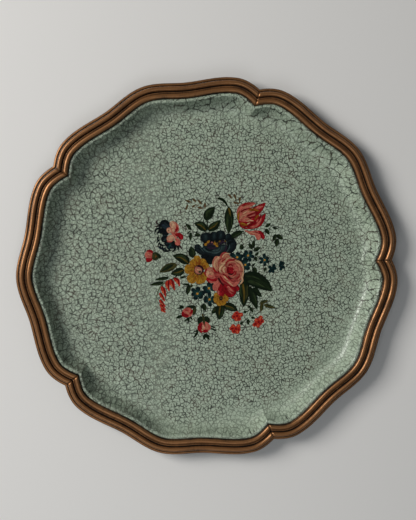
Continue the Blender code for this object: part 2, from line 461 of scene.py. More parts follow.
def celadon_crackle():
    """Grey-green lacquer over black: nets of cracks, wider on the left, coarsest by the upper right wall."""
    material, tree, shader = new_finish("celadon_crackle", Roughness=0.34, IOR=1.5)
    spot = put(tree, "ShaderNodeTexCoord").outputs["Object"]
    axes = put(tree, "ShaderNodeSeparateXYZ", {0: spot}).outputs
    flat = put(tree, "ShaderNodeCombineXYZ", {0: axes[0], 1: axes[1]}).outputs[0]
    radius = put(tree, "ShaderNodeVectorMath", {0: flat}, operation="LENGTH").outputs["Value"]

    def wander(scale, reach, detail):
        inputs = {"Vector": flat, "Scale": scale, "Detail": detail}
        colour = put(tree, "ShaderNodeTexNoise", inputs).outputs["Color"]
        centred = put(tree, "ShaderNodeVectorMath", {0: colour, 1: (0.5, 0.5, 0.5)}, operation="SUBTRACT")
        inputs = {0: centred.outputs[0], "Scale": reach}
        return put(tree, "ShaderNodeVectorMath", inputs, operation="SCALE").outputs[0]

    bent = plus_vector(tree, flat, wander(110, 3.2 * MM, 2.0))
    bent = plus_vector(tree, bent, wander(430, 2.4 * MM, 2.0))

    patches = noise(tree, flat, 14, 2.0)
    outward = plus(tree, radius, times(tree, minus(tree, patches, 0.5), 0.06))
    near_wall = ease(tree, outward, 147 * MM, 166 * MM)
    leftward = minus(tree, times(tree, patches, 0.12), axes[0])
    wide_side = ease(tree, leftward, 70 * MM, 150 * MM)

    bold = ease(tree, noise(tree, flat, 190, 3.0), 0.34, 0.66)
    thin = ease(tree, noise(tree, flat, 210, 3.0), 0.40, 0.62)

    def net(cell, narrow, wide, boldness, softness=0.22, place=bent):
        inputs = {"Vector": place, "Scale": 1 / (cell * MM)}
        node = put(tree, "ShaderNodeTexVoronoi", inputs, voronoi_dimensions="2D", feature="DISTANCE_TO_EDGE")
        away = times(tree, node.outputs["Distance"], cell * MM)
        core = ease(tree, boldness, 0, 1, narrow * MM, wide * MM)
        away = minus(tree, away, core)
        return ease(tree, away, 0.0, softness * MM, 1.0, 0.0)

    hair = times(tree, net(2.5, -0.05, 0.18, thin), 0.68)
    close = times(tree, net(3.8, 0.07, 0.41, bold), ease(tree, wide_side, 0, 1, 1.0, 0.60))
    wide = times(tree, net(5.2, 0.10, 0.45, bold), ease(tree, wide_side, 0, 1, 0.15, 1.0))
    both = figure(tree, "MAXIMUM", figure(tree, "MAXIMUM", close, wide), hair)
    faded = times(tree, near_wall, ease(tree, wide_side, 0, 1, 0.38, 0.15))
    both = times(tree, both, minus(tree, 1.0, faded))
    upper_right = put(tree, "ShaderNodeVectorMath", {0: flat, 1: (0.75, 0.66, 0)}, operation="DOT_PRODUCT")
    pooled = ease(tree, upper_right.outputs["Value"], 40 * MM, 110 * MM, 0.35, 1.0)
    pooled = figure(tree, "MAXIMUM", pooled, times(tree, wide_side, 0.7))
    jagged = plus_vector(tree, bent, wander(260, 3.4 * MM, 3.0))
    coarse = net(10.0, 0.10, 0.46, bold, 0.30, jagged)
    coarse = times(tree, coarse, times(tree, near_wall, pooled))
    cracks = figure(tree, "MAXIMUM", both, coarse)

    cell_tone = put(tree, "ShaderNodeTexVoronoi", {"Vector": bent, "Scale": 1 / (4.3 * MM)},
                    voronoi_dimensions="2D").outputs["Color"]
    cell_tone = put(tree, "ShaderNodeSeparateColor", {0: cell_tone}).outputs[0]
    ground = blend_colours(tree, cell_tone, (0.385, 0.470, 0.360, 1), (0.455, 0.545, 0.425, 1))
    clouds = ease(tree, noise(tree, flat, 22, 3.0), 0.35, 0.70)
    ground = blend_colours(tree, times(tree, clouds, 0.30), ground, (0.320, 0.385, 0.280, 1))
    crack_tint = ease(tree, noise(tree, flat, 60, 2.0), 0.45, 0.65)
    crack_colour = blend_colours(tree, crack_tint, (0.012, 0.015, 0.009, 1), (0.034, 0.020, 0.011, 1))
    colour = blend_colours(tree, times(tree, cracks, 0.95), ground, crack_colour)
    link(tree, colour, shader, "Base Color")

    matt = plus(tree, times(tree, cracks, 0.3), ease(tree, clouds, 0, 1, 0.27, 0.38))
    link(tree, matt, shader, "Roughness")
    relief = minus(tree, times(tree, noise(tree, flat, 30, 1.0), 0.8), cracks)
    add_bump(tree, shader, relief, 0.35, 0.15 * MM)
    return material


def copper_gilt():
    """Bronze-powder gilding, rubbed bright on the crests and left dark brown in the grooves."""
    material, tree, shader = new_finish("copper_gilt", Roughness=0.35, Metallic=0.65, Coat_Weight=0.1)
    shader.inputs["Coat Roughness"].default_value = 0.3
    spot = put(tree, "ShaderNodeTexCoord").outputs["Object"]
    inset = attribute(tree, "inset")
    around = attribute(tree, "around")
    gilding = attribute(tree, "gilding")
    across = put(tree, "ShaderNodeCombineXYZ", {0: around, 1: times(tree, inset, 0.15)}).outputs[0]
    rubs = noise(tree, across, 1100, 3.0, 0.6)
    patches = noise(tree, spot, 55, 3.0)
    lines = put(tree, "ShaderNodeCombineXYZ", {0: times(tree, around, 0.03), 1: inset}).outputs[0]
    lines = noise(tree, lines, 1300, 2.0)
    worn = plus(tree, gilding, times(tree, minus(tree, rubs, 0.5), 0.9))
    worn = plus(tree, worn, times(tree, minus(tree, patches, 0.5), 0.7))
    worn = plus(tree, worn, times(tree, minus(tree, lines, 0.5), 1.4))
    worn = ease(tree, worn, 0.20, 1.20)
    colour = blend_colours(tree, worn, (0.010, 0.004, 0.002, 1), (0.32, 0.145, 0.052, 1))
    link(tree, colour, shader, "Base Color")
    link(tree, ease(tree, worn, 0, 1, 0.60, 0.36), shader, "Roughness")
    add_bump(tree, shader, rubs, 0.3, 0.1 * MM)
    return material


def black_lacquer():
    """The plain black underside, a little uneven and dulled by handling."""
    material, tree, shader = new_finish("black_lacquer", Roughness=0.35, Base_Color=(0.012, 0.011, 0.010, 1))
    spot = put(tree, "ShaderNodeTexCoord").outputs["Object"]
    handling = noise(tree, spot, 25, 4.0)
    dulled = ease(tree, handling, 0.4, 0.7)
    colour = blend_colours(tree, dulled, (0.011, 0.010, 0.009, 1), (0.022, 0.018, 0.014, 1))
    link(tree, colour, shader, "Base Color")
    link(tree, ease(tree, handling, 0.35, 0.7, 0.28, 0.5), shader, "Roughness")
    unevenness = noise(tree, spot, 180, 3.0)
    add_bump(tree, shader, unevenness, 0.2, 0.1 * MM)
    return material


def drawn_wire():
    material, tree, shader = new_finish("drawn_wire", Roughness=0.4, Metallic=1.0)
    spot = put(tree, "ShaderNodeTexCoord").outputs["Object"]
    grain = noise(tree, spot, 700, 2.0)
    link(tree, blend_colours(tree, grain, (0.22, 0.22, 0.23, 1), (0.42, 0.42, 0.43, 1)), shader, "Base Color")
    link(tree, ease(tree, grain, 0.3, 0.7, 0.35, 0.55), shader, "Roughness")
    return material


def plain_finish(name, colour, roughness):
    return new_finish(name, Base_Color=(*colour, 1), Roughness=roughness)[0]


# ------------------------------------------------------------------ the pieces
def keep(piece, slot, *nodes):
    """Puts a finished piece on the tray's one body."""
    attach(piece, "root")
    if nodes:
        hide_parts(*nodes)
    return piece


def make_pan(tree, black, crackle, gilt):
    middle = floor_line()[:-1] + wall_line()
    shell = offset_line(middle, SHEET / 2) + offset_line(middle, -SHEET / 2)[::-1]
    pan = sweep_round("pan_sheet", tree, shell, black, facets=PAN_FACETS)
    close_up(pan)
    keep(pan, "celadon_lacquer", "tray_pan")

    floor = offset_line(floor_line(), SHEET / 2 + COAT)
    coat = sweep_round("floor_coat", tree, floor, crackle)
    face_up(coat)
    keep(coat, "celadon_lacquer", "tray_pan")

    wall = offset_line(wall_line(), SHEET / 2 + COAT)[:-1]
    for number in range(1, LOBES + 1):
        first = (number - 1) * LOBE_ANGLE
        coat = sweep_round(f"wall_coat_{number}", tree, wall, crackle, first, LOBE_ANGLE)
        face_up(coat)
        keep(coat, "celadon_lacquer", "tray_pan")

    loop = roll_line(ROLL_RADIUS) + roll_line(ROLL_RADIUS - SHEET)[::-1]
    edge = sweep_round("curled_edge", tree, loop + loop[:1], gilt, facets=EDGE_FACETS)
    close_up(edge)
    keep(edge, "copper_gilt", "tray_pan")


def make_wire(tree, finish):
    radius = (WIRE_HIGH.z - WIRE_LOW.z) / 2
    loop = []
    for i in range(WIRE_STEPS + 1):
        turn = 2 * math.pi * i / WIRE_STEPS
        reach = MEAN_RADIUS - ROLL_RADIUS + radius * math.cos(turn)
        loop.append((reach, WIRE_HEIGHT + radius * math.sin(turn)))
    wire = sweep_round("stiffening_wire", tree, loop, finish, facets=EDGE_FACETS)
    close_up(wire)
    keep(wire, "drawn_wire", "edge_wire")


def make_mouldings(tree, gilt):
    gap = math.radians(0.05)
    for number in range(1, LOBES + 1):
        first = (number - 1) * LOBE_ANGLE + gap
        name = f"gilt_moulding_{number}"
        length = LOBE_ANGLE - 2 * gap
        moulding = sweep_round(name, tree, moulding_line(), gilt, first, length, MOULDING_FACETS)
        close_up(moulding)
        keep(moulding, "copper_gilt", f"rim_moulding_{number}")


# ------------------------------------------------------------------ growth: brush strokes
def brush_stroke_growth():
    """Draws each guide line out into a thin film of paint, shaped and shaded like one stroke of a brush."""
    tree, given = new_growth(
        "brush_strokes",
        ("Step", "Float", 0.8 * MM),
        ("Film", "Float", FILM),
        ("Wobble", "Float", 0.2),
        ("Material", "Material", None),
    )
    lines = put(tree, "GeometryNodeMeshToCurve", {"Mesh": given["Geometry"]}).outputs[0]
    lines = put(tree, "GeometryNodeCurveSplineType", {"Curve": lines}, spline_type="CATMULL_ROM").outputs[0]
    length = put(tree, "GeometryNodeSplineLength").outputs["Length"]
    count = plus(tree, figure(tree, "DIVIDE", length, given["Step"]), 9.0)
    lines = put(tree, "GeometryNodeResampleCurve", {"Curve": lines, "Count": count}, mode="COUNT").outputs[0]

    even = put(tree, "GeometryNodeSplineParameter").outputs["Factor"]
    lines = stored(tree, lines, "along", even)
    along = named(tree, "along")
    root, tip = named(tree, "root"), named(tree, "tip")
    both = plus(tree, root, tip)
    peak = times(
        tree,
        figure(tree, "POWER", figure(tree, "DIVIDE", root, both), root),
        figure(tree, "POWER", figure(tree, "DIVIDE", tip, both), tip),
    )
    from_root = figure(tree, "POWER", along, root)
    to_tip = figure(tree, "POWER", minus(tree, 1.0, along), tip)
    taper = times(tree, from_root, to_tip)
    taper = figure(tree, "DIVIDE", taper, peak)
    teeth = figure(tree, "FRACT", times(tree, along, 6.0))
    teeth = minus(tree, 1.0, times(tree, teeth, named(tree, "teeth")))
    place = put(tree, "GeometryNodeInputPosition").outputs[0]
    shake = put(tree, "ShaderNodeTexNoise", {"Vector": place, "Scale": 420.0, "Detail": 1.0}).outputs[0]
    shake = times(tree, minus(tree, shake, 0.5), given["Wobble"])
    reach = times(tree, named(tree, "half_width"), times(tree, taper, teeth))
    reach = times(tree, reach, plus(tree, 1.0, shake))
    reach = figure(tree, "MAXIMUM", reach, FINEST_STROKE)
    lines = put(tree, "GeometryNodeSetCurveNormal", {"Curve": lines}, mode="Z_UP").outputs[0]
    lines = stored(tree, lines, "reach", reach)

    bristles = put(tree, "GeometryNodeCurvePrimitiveCircle", {"Resolution": 8, "Radius": 1.0}).outputs[0]
    ring = put(tree, "ShaderNodeSeparateXYZ", {0: place}).outputs
    bristles = stored(tree, bristles, "across", ring[0])
    bristles = stored(tree, bristles, "lift", ring[1])
    swept = {"Curve": lines, "Profile Curve": bristles, "Scale": named(tree, "reach"), "Fill Caps": True}
    film = put(tree, "GeometryNodeCurveToMesh", swept).outputs[0]

    across = named(tree, "across")
    rise = figure(tree, "MAXIMUM", named(tree, "lift"), 0.0)
    rise = times(tree, times(tree, rise, rise), given["Film"])
    axes = put(tree, "ShaderNodeSeparateXYZ", {0: place}).outputs
    height = plus(tree, named(tree, "layer"), rise)
    laid = put(tree, "ShaderNodeCombineXYZ", {0: axes[0], 1: axes[1], 2: height}).outputs[0]
    film = put(tree, "GeometryNodeSetPosition", {"Geometry": film, "Position": laid}).outputs[0]

    side = named(tree, "side")
    one_side = times(tree, across, side)
    two_sides = figure(tree, "ABSOLUTE", across)
    chosen = figure(tree, "ABSOLUTE", side)
    leaning = plus(tree, times(tree, one_side, chosen), times(tree, two_sides, minus(tree, 1.0, chosen)))
    loaded = blend_colours(
        tree, along, named(tree, "root_colour", "FLOAT_COLOR"), named(tree, "tip_colour", "FLOAT_COLOR")
    )
    edge_colour = named(tree, "edge_colour", "FLOAT_COLOR")
    loaded = blend_colours(tree, ease(tree, leaning, 0.0, 0.95), loaded, edge_colour)
    film = stored(tree, film, "pigment", loaded, "FLOAT_COLOR")
    grain = put(tree, "ShaderNodeCombineXYZ", {
        0: times(tree, across, times(tree, named(tree, "reach"), 1000.0)),
        1: times(tree, along, 1.6),
        2: times(tree, named(tree, "layer"), 9000.0),
    }).outputs[0]
    film = stored(tree, film, "grain", grain, "FLOAT_VECTOR")
    finish_growth(tree, film, given["Material"])
    return tree


def oil_paint():
    """Oil colour from a round brush: the pigment of each stroke, streaked by the bristles."""
    material, tree, shader = new_finish("oil_paint", Roughness=0.5, Specular_IOR_Level=0.08)
    pigment = attribute(tree, "pigment", "Color")
    grain = attribute(tree, "grain", "Vector")
    streaks = noise(tree, grain, 2.4, 3.0, 0.6)
    light = blend_colours(tree, 1.0, pigment, (1.45, 1.50, 1.35, 1), "MULTIPLY")
    dark = blend_colours(tree, 1.0, pigment, (0.40, 0.34, 0.32, 1), "MULTIPLY")
    colour = blend_colours(tree, ease(tree, streaks, 0.30, 0.70), dark, light)
    link(tree, colour, shader, "Base Color")
    link(tree, ease(tree, streaks, 0.3, 0.7, 0.60, 0.42), shader, "Roughness")
    add_bump(tree, shader, streaks, 0.3, 0.05 * MM)
    return material


# ------------------------------------------------------------------ the bouquet
# What the brush is loaded with, as (at the root, at the tip, along the edges).
PAINTS = {
    "cream": ((0.50, 0.31, 0.19), (0.56, 0.38, 0.24), (0.42, 0.22, 0.13)),
    "blush": ((0.38, 0.15, 0.095), (0.46, 0.22, 0.14), (0.33, 0.10, 0.07)),
    "rose": ((0.30, 0.070, 0.055), (0.38, 0.13, 0.09), (0.24, 0.030, 0.030)),
    "coral": ((0.36, 0.070, 0.060), (0.44, 0.12, 0.095), (0.40, 0.10, 0.08)),
    "crimson": ((0.24, 0.004, 0.010), (0.28, 0.008, 0.015), (0.17, 0.002, 0.005)),
    "garnet": ((0.15, 0.003, 0.006), (0.19, 0.004, 0.009), (0.10, 0.002, 0.004)),
    "crevice": ((0.012, 0.003, 0.003), (0.018, 0.003, 0.004), (0.05, 0.004, 0.005)),
    "night": ((0.002, 0.004, 0.005), (0.004, 0.008, 0.010), (0.001, 0.003, 0.004)),
    "navy": ((0.004, 0.007, 0.009), (0.010, 0.018, 0.022), (0.002, 0.004, 0.006)),
    "slate": ((0.008, 0.017, 0.020), (0.022, 0.038, 0.042), (0.004, 0.009, 0.012)),
    "steel": ((0.035, 0.060, 0.064), (0.045, 0.075, 0.080), (0.020, 0.038, 0.042)),
    "plum": ((0.022, 0.010, 0.024), (0.034, 0.020, 0.036), (0.010, 0.006, 0.014)),
    "ochre": ((0.20, 0.085, 0.008), (0.33, 0.18, 0.020), (0.27, 0.12, 0.011)),
    "rust": ((0.20, 0.055, 0.006), (0.24, 0.075, 0.008), (0.16, 0.040, 0.005)),
    "dull_gold": ((0.12, 0.070, 0.014), (0.17, 0.10, 0.020), (0.07, 0.040, 0.010)),
    "dusk": ((0.34, 0.13, 0.10), (0.42, 0.22, 0.14), (0.26, 0.08, 0.07)),
    "aubergine": ((0.030, 0.006, 0.012), (0.040, 0.006, 0.014), (0.014, 0.003, 0.006)),
    "leaf": ((0.005, 0.012, 0.004), (0.009, 0.018, 0.006), (0.003, 0.008, 0.003)),
    "leaf_light": ((0.020, 0.034, 0.012), (0.030, 0.048, 0.018), (0.009, 0.018, 0.007)),
    "leaf_gold": ((0.12, 0.070, 0.008), (0.085, 0.062, 0.010), (0.05, 0.040, 0.008)),
    "umber": ((0.075, 0.045, 0.020), (0.11, 0.065, 0.028), (0.085, 0.055, 0.026)),
    "olive": ((0.050, 0.046, 0.012), (0.070, 0.064, 0.018), (0.030, 0.030, 0.009)),
    "sage": ((0.11, 0.13, 0.085), (0.15, 0.17, 0.11), (0.08, 0.10, 0.06)),
    "moss": ((0.030, 0.034, 0.010), (0.038, 0.040, 0.012), (0.016, 0.020, 0.007)),
    "teal": ((0.002, 0.011, 0.012), (0.004, 0.022, 0.022), (0.001, 0.007, 0.009)),
    "teal_light": ((0.010, 0.040, 0.040), (0.018, 0.060, 0.058), (0.006, 0.026, 0.027)),
    "peach": ((0.46, 0.26, 0.17), (0.52, 0.34, 0.23), (0.40, 0.17, 0.12)),
    "indigo": ((0.010, 0.018, 0.030), (0.018, 0.030, 0.044), (0.006, 0.010, 0.018)),
    "coral_red": ((0.42, 0.028, 0.014), (0.46, 0.060, 0.030), (0.32, 0.012, 0.009)),
    "flame": ((0.50, 0.110, 0.045), (0.56, 0.170, 0.070), (0.46, 0.060, 0.030)),
}
# How blunt a stroke is at its root and at its tip: 0 is cut square, 0.5 is round, 1 and over is fine.
SHAPES = {
    "round": (0.5, 0.5),
    "petal": (0.65, 0.38),
    "leaf": (0.60, 0.85),
    "line": (0.35, 0.75),
    "drop": (1.1, 0.40),
    "blade": (0.8, 1.1),
}


class Strokes(list):
    """The strokes of one flower or spray, in the order in which they are laid."""

    def lay(self, shape, paint, width, *points, side=0, teeth=0.0):
        """Adds one stroke: its shape, paint, width in millimetres and the points that it runs through."""
        self.append({
            "paint": paint, "half_width": width / 2, "points": [Vector(p) for p in points],
            "shape": SHAPES[shape], "side": side, "teeth": teeth,
        })

    def whole_leaf(self, base, tip, width, bend=0.0, rib=None, light=1, paint="leaf"):
        """A leaf: the dark blade, a lighter stroke along one half, and a midrib where it shows."""
        base, tip = Vector(base), Vector(tip)
        along = tip - base
        aside = Vector((-along.y, along.x)).normalized()
        middle = base + along * 0.5 + aside * bend
        self.leaf(paint, width, base, middle, tip)
        if light and width > NARROW_LEAF:
            shift = aside * (light * width * 0.20)
            near, far = base + along * 0.18 + shift * 0.6, base + along * 0.82 + shift * 0.35
            self.leaf("leaf_light", width * 0.32, near, middle + shift, far)
        if rib:
            self.line(rib, max(0.7, width * 0.17), base + along * 0.08, middle, base + along * 0.80)


# s.petal(...), s.line(...) and the rest lay a stroke of that shape.
for shape_name in SHAPES:
    setattr(Strokes, shape_name, partialmethod(Strokes.lay, shape_name))


def run_through(stroke, count=9):
    """Points along a stroke, each with the stroke's half width there."""
    points, (root, tip) = stroke["points"], stroke["shape"]
    peak = (root / (root + tip)) ** root * (tip / (root + tip)) ** tip
    spans = [(b - a).length for a, b in zip(points, points[1:])]
    discs = []
    for i in range(count):
        share = i / (count - 1)
        reach = share * sum(spans)
        for a, b, span in zip(points, points[1:], spans):
            if reach <= span:
                break
            reach -= span
        place = a.lerp(b, min(1.0, reach / span))
        width = max(share, 0.02) ** root * max(1 - share, 0.02) ** tip / peak
        discs.append((place, stroke["half_width"] * width))
    return discs


def clear_of(stroke, other):
    """Whether the boxes round two strokes are apart."""
    return any(stroke["low"][i] > other["high"][i] or stroke["high"][i] < other["low"][i] for i in (0, 1))


def stack_up(strokes):
    """Gives each stroke the lowest layer above all the earlier strokes that it touches."""
    for number, stroke in enumerate(strokes):
        discs = run_through(stroke)
        stroke["discs"] = discs
        stroke["low"] = [min(p[i] - r for p, r in discs) for i in (0, 1)]
        stroke["high"] = [max(p[i] + r for p, r in discs) for i in (0, 1)]
        layer = 0
        for earlier in strokes[:number]:
            if earlier["layer"] < layer or clear_of(stroke, earlier):
                continue
            if any((p - q).length < r + s for p, r in discs for q, s in earlier["discs"]):
                layer = earlier["layer"] + 1
        stroke["layer"] = layer


def layer_height(stroke):
    """The underside of a stroke, counted in layers up from the floor coat."""
    return FLOOR_TOP + FILM * (FIRST_LAYER + LAYER_PITCH * stroke["layer"])


def make_strokes(name, tree, strokes, paint):
    places, edges, values = [], [], {}
    for stroke in strokes:
        root_colour, tip_colour, edge_colour = PAINTS[stroke["paint"]]
        row = {
            "half_width": stroke["half_width"] * MM, "root": stroke["shape"][0], "tip": stroke["shape"][1],
            "side": float(stroke["side"]), "teeth": stroke["teeth"],
            "layer": layer_height(stroke),
            "root_colour": root_colour, "tip_colour": tip_colour, "edge_colour": edge_colour,
        }
        for i, point in enumerate(stroke["points"]):
            if i:
                edges.append((len(places) - 1, len(places)))
            places.append((point.x * MM, point.y * MM, FLOOR_TOP))
            for label, value in row.items():
                values.setdefault(label, []).append(value)
    guide = guide_object(name, places, edges, **values)
    piece = grow(name, tree, guide, film=FILM, material=paint)
    piece.data.set_sharp_from_angle(angle=math.radians(50))
    return keep(piece, "celadon_lacquer")


def rose():
    s = Strokes()
    # the outer petals that hang below
    s.petal("coral", 9.5, (12, -13), (8.5, -18.5), (6.5, -25), side=1)
    s.petal("crimson", 9, (13.5, -16), (13, -23), (10, -30))
    s.round("coral", 2.0, (9, -24), (8.8, -28.5))
    s.line("garnet", 2.2, (14, -17), (13.5, -23), (12, -27))
    s.petal("crimson", 7.5, (20, -19), (25, -21), (30.8, -25))
    s.petal("crimson", 11.5, (15, -17), (20, -24), (25, -31))
    s.line("coral", 2.4, (18.5, -20), (21.5, -23.5), (26, -27))
    s.line("rose", 1.6, (19, -23.5), (22, -27.5), (25, -28.8))
    s.line("garnet", 1.7, (16, -20), (18, -26), (22, -29.8))
    s.line("garnet", 1.6, (21, -19.5), (26, -22), (29, -24.5))
    # the side petal
    s.petal("crimson", 6.5, (10, -9), (3, -13), (-3, -10.5))
    s.line("coral", 1.8, (-1, -13.2), (3, -15.4), (8, -14.4))
    s.petal("blush", 11.5, (9.5, -3), (3, -4.5), (-3.8, -5.5), side=1)
    s.round("coral", 4, (8, -8.5), (3, -9.8), (-1, -7.5))
    s.line("crimson", 1.9, (-2.2, -0.5), (-4.3, -4.5), (-3.2, -8.8))
    s.round("cream", 2.2, (-1.5, -3), (-0.5, -6))
    s.line("rose", 1.2, (2, -2.5), (5, -5), (4, -8))
    # the bloom's body, then its petals from the back to the front
    s.round("rose", 29, (5.2, -1), (21, -4.2), (36.8, -6))
    s.petal("rose", 12, (12, 4), (17, 9.5), (22, 13))
    s.line("cream", 1.8, (14.5, 10.5), (18, 14), (23, 14.4))
    s.line("blush", 3, (16, 10), (19, 12), (22, 11.5))
    s.petal("blush", 8.5, (10.5, -5), (7.6, 3), (10.5, 12), side=-1)
    s.line("cream", 1.9, (7.5, -4), (5.8, 1.5), (7.4, 8), (12.5, 12.2))
    s.line("rose", 2, (12.5, 9.5), (10.2, 4), (10.4, -2))
    s.line("crimson", 2, (4.3, 0.6), (6.4, -3.4), (10.2, -6.4))
    s.line("garnet", 1.5, (10.2, 0), (9.8, -4), (11, -7))
    s.petal("blush", 5, (12, -4), (12.5, 3), (19, 9), side=-1)
    s.line("crimson", 1.5, (13.5, 5.5), (16.5, 8), (20, 9.2))
    s.line("cream", 1.6, (17, 6.5), (21.5, 9.8), (26.8, 8.6))
    s.line("cream", 3.2, (17.5, 4.5), (13, 1.5), (11.3, -3), (13.8, -6.2))
    s.line("cream", 2.6, (17.2, 1), (15.2, -2.5), (16.8, -6))
    s.line("crimson", 1.9, (17.8, 2.2), (20.8, 6), (27.2, 7.3))
    s.line("blush", 2.4, (18.8, 1.5), (21.5, 4.8), (27, 5), (31.5, 2))
    s.line("cream", 2.6, (27.5, 7), (33, 4.2), (36, -1), (36.6, -6.5))
    s.line("cream", 2.3, (36, -6), (34.8, -12), (34.6, -16), (30.5, -20))
    s.line("blush", 2.6, (28.5, 3.8), (32.3, 0), (32.6, -5))
    s.line("coral", 2.2, (26.8, 2), (29.8, -1.5), (30, -6))
    s.line("crimson", 1.5, (32.8, -7.5), (31.3, -11), (27, -13.2))
    s.line("blush", 2.2, (34, -7), (32.8, -11.5), (30, -14))
    # the heart
    s.round("crimson", 9, (19.5, -1), (23, -4), (26.5, -7))
    s.line("garnet", 2.2, (20.2, 0.4), (20, -3.4), (22.5, -5.6))
    s.line("garnet", 1.8, (20.6, 1.8), (23, 2.6), (25.6, 1))
    s.line("coral", 1.5, (21.5, 0.2), (23.4, 0.8), (24.4, -0.6))
    s.line("coral", 1.6, (25.6, 0.2), (27, -2.5), (25.6, -5))
    s.line("crevice", 1.7, (20.3, -6.2), (23, -8), (26, -6.6))
    s.line("coral", 1.6, (21, -8.3), (24, -9.6), (27, -7.6))
    s.line("crimson", 1.6, (28.6, -4.4), (27.4, -8), (24, -10))
    s.line("crevice", 1.5, (20, -9.4), (22, -11.8), (25.2, -12))
    s.line("blush", 1.5, (22.6, -10.6), (25.2, -10.8), (28, -9))
    # the front petals, sweeping down to the right
    s.line("coral", 4.2, (20, -15), (26, -19), (33, -14))
    s.line("coral", 3.4, (13, -8), (17, -13), (24, -18.5))
    s.line("crimson", 1.8, (14, -6.6), (18.5, -10.4), (24.5, -15.2))
    s.line("crimson", 2.0, (11.4, -9), (14.5, -14), (21, -19))
    s.line("cream", 1.6, (15, -8.8), (17, -11), (19.6, -13.6))
    s.line("cream", 1.6, (18.4, -14.6), (21.4, -17.4), (25, -20.6))
    s.line("rose", 1.4, (26, -14.5), (29.5, -15.5), (32, -12.6))
    s.line("crevice", 2.0, (9.4, -10.6), (11.8, -15.6), (15.6, -20))
    return s


def blue_peony():
    s = Strokes()
    s.petal("night", 11, (0, 17), (1, 10.5), (1.4, 3.6))
    s.petal("night", 6.5, (1, 14), (-3.5, 12.6), (-7.2, 10.4))
    s.petal("night", 9, (6, 15), (7, 9), (7, 6))
    s.petal("night", 7, (7, 16), (13, 14), (18, 15.5))
    s.petal("navy", 7.5, (-2, 17.5), (-9, 19.5), (-12.5, 25.6))
    s.petal("navy", 5.5, (0, 16), (-7, 16.8), (-12.4, 20.6))
    s.line("steel", 1.2, (-3, 16.4), (-6, 19), (-9, 23.4))
    s.petal("navy", 10, (17, 15.5), (24, 20), (27, 28.6))
    s.petal("night", 5, (20, 24), (25, 28), (28.6, 26.4))
    s.line("steel", 1.6, (19, 15.6), (22.5, 20), (23, 24))
    s.line("slate", 1.4, (21, 27), (23.5, 28), (25.5, 27.4))
    s.petal("navy", 7, (19, 27), (21.5, 32), (21.2, 35.4))
    s.petal("navy", 10, (12, 27), (13.5, 33), (14.2, 39.2))
    s.petal("navy", 9, (6, 27), (6.8, 33), (8, 38))
    s.petal("navy", 11.8, (-1, 25.5), (-1.8, 31), (-2.4, 37.6))
    s.round("slate", 6, (-1.6, 28.5), (-2, 35.4))
    s.round("slate", 4.2, (6.6, 29.5), (7.6, 36))
    s.round("slate", 4, (13, 30), (14.6, 35.8))
    s.round("slate", 2.4, (20, 30), (20.4, 34))
    s.line("night", 1.4, (3.4, 27.6), (3.8, 35.6))
    s.line("night", 1.3, (10.2, 28.5), (10.6, 37))
    s.line("night", 1.2, (17, 28), (17.8, 33.6))
    # the bowl, and the dark inside it
    s.round("night", 6, (-6, 24.5), (7, 26.5), (19.5, 27))
    s.round("plum", 5, (-1.5, 23.5), (4, 25.8), (8, 23))
    s.line("plum", 3.4, (12, 24), (16, 27.6), (19, 24))
    s.round("slate", 11.5, (-6.2, 22), (7.4, 17.6), (20.4, 22.6))
    s.line("plum", 3.4, (-1, 22.6), (5, 20.8), (10, 22.2))
    s.line("steel", 1.8, (-5, 22), (-2.4, 18.4), (3, 16.2))
    s.line("steel", 1.8, (3, 16), (9.5, 15.8), (14, 19.4), (15, 23.6))
    s.line("steel", 1.6, (4, 18.6), (9.5, 18.4), (12.6, 21.4))
    s.line("night", 1.6, (-3.4, 21.6), (1, 18.6), (6, 19.4))
    s.line("plum", 2.2, (17, 16.6), (19.2, 20), (19, 24))
    # the stamens
    for paint, width, root, tip in (
        ("ochre", 2.6, (-3.9, 24.4), (-1.0, 25.8)), ("ochre", 2.4, (-1.2, 26.2), (2.0, 28.8)),
        ("ochre", 2.0, (-2.4, 23.4), (-1.4, 26.4)), ("ochre", 2.8, (5.8, 25.8), (9.0, 25.2)),
        ("ochre", 2.4, (8.0, 24.6), (10.6, 22.0)), ("dull_gold", 1.8, (9.6, 26.8), (10.2, 23.4)),
        ("dull_gold", 2.0, (11.4, 26.6), (13.6, 28.4)), ("dull_gold", 1.6, (17.6, 26.8), (19.2, 28.2)),
        ("dusk", 1.4, (3.8, 27.6), (5.0, 26.4)), ("dull_gold", 1.6, (6.6, 27.4), (8.0, 28.2)),
    ):
        s.round(paint, width, root, tip)
    return s


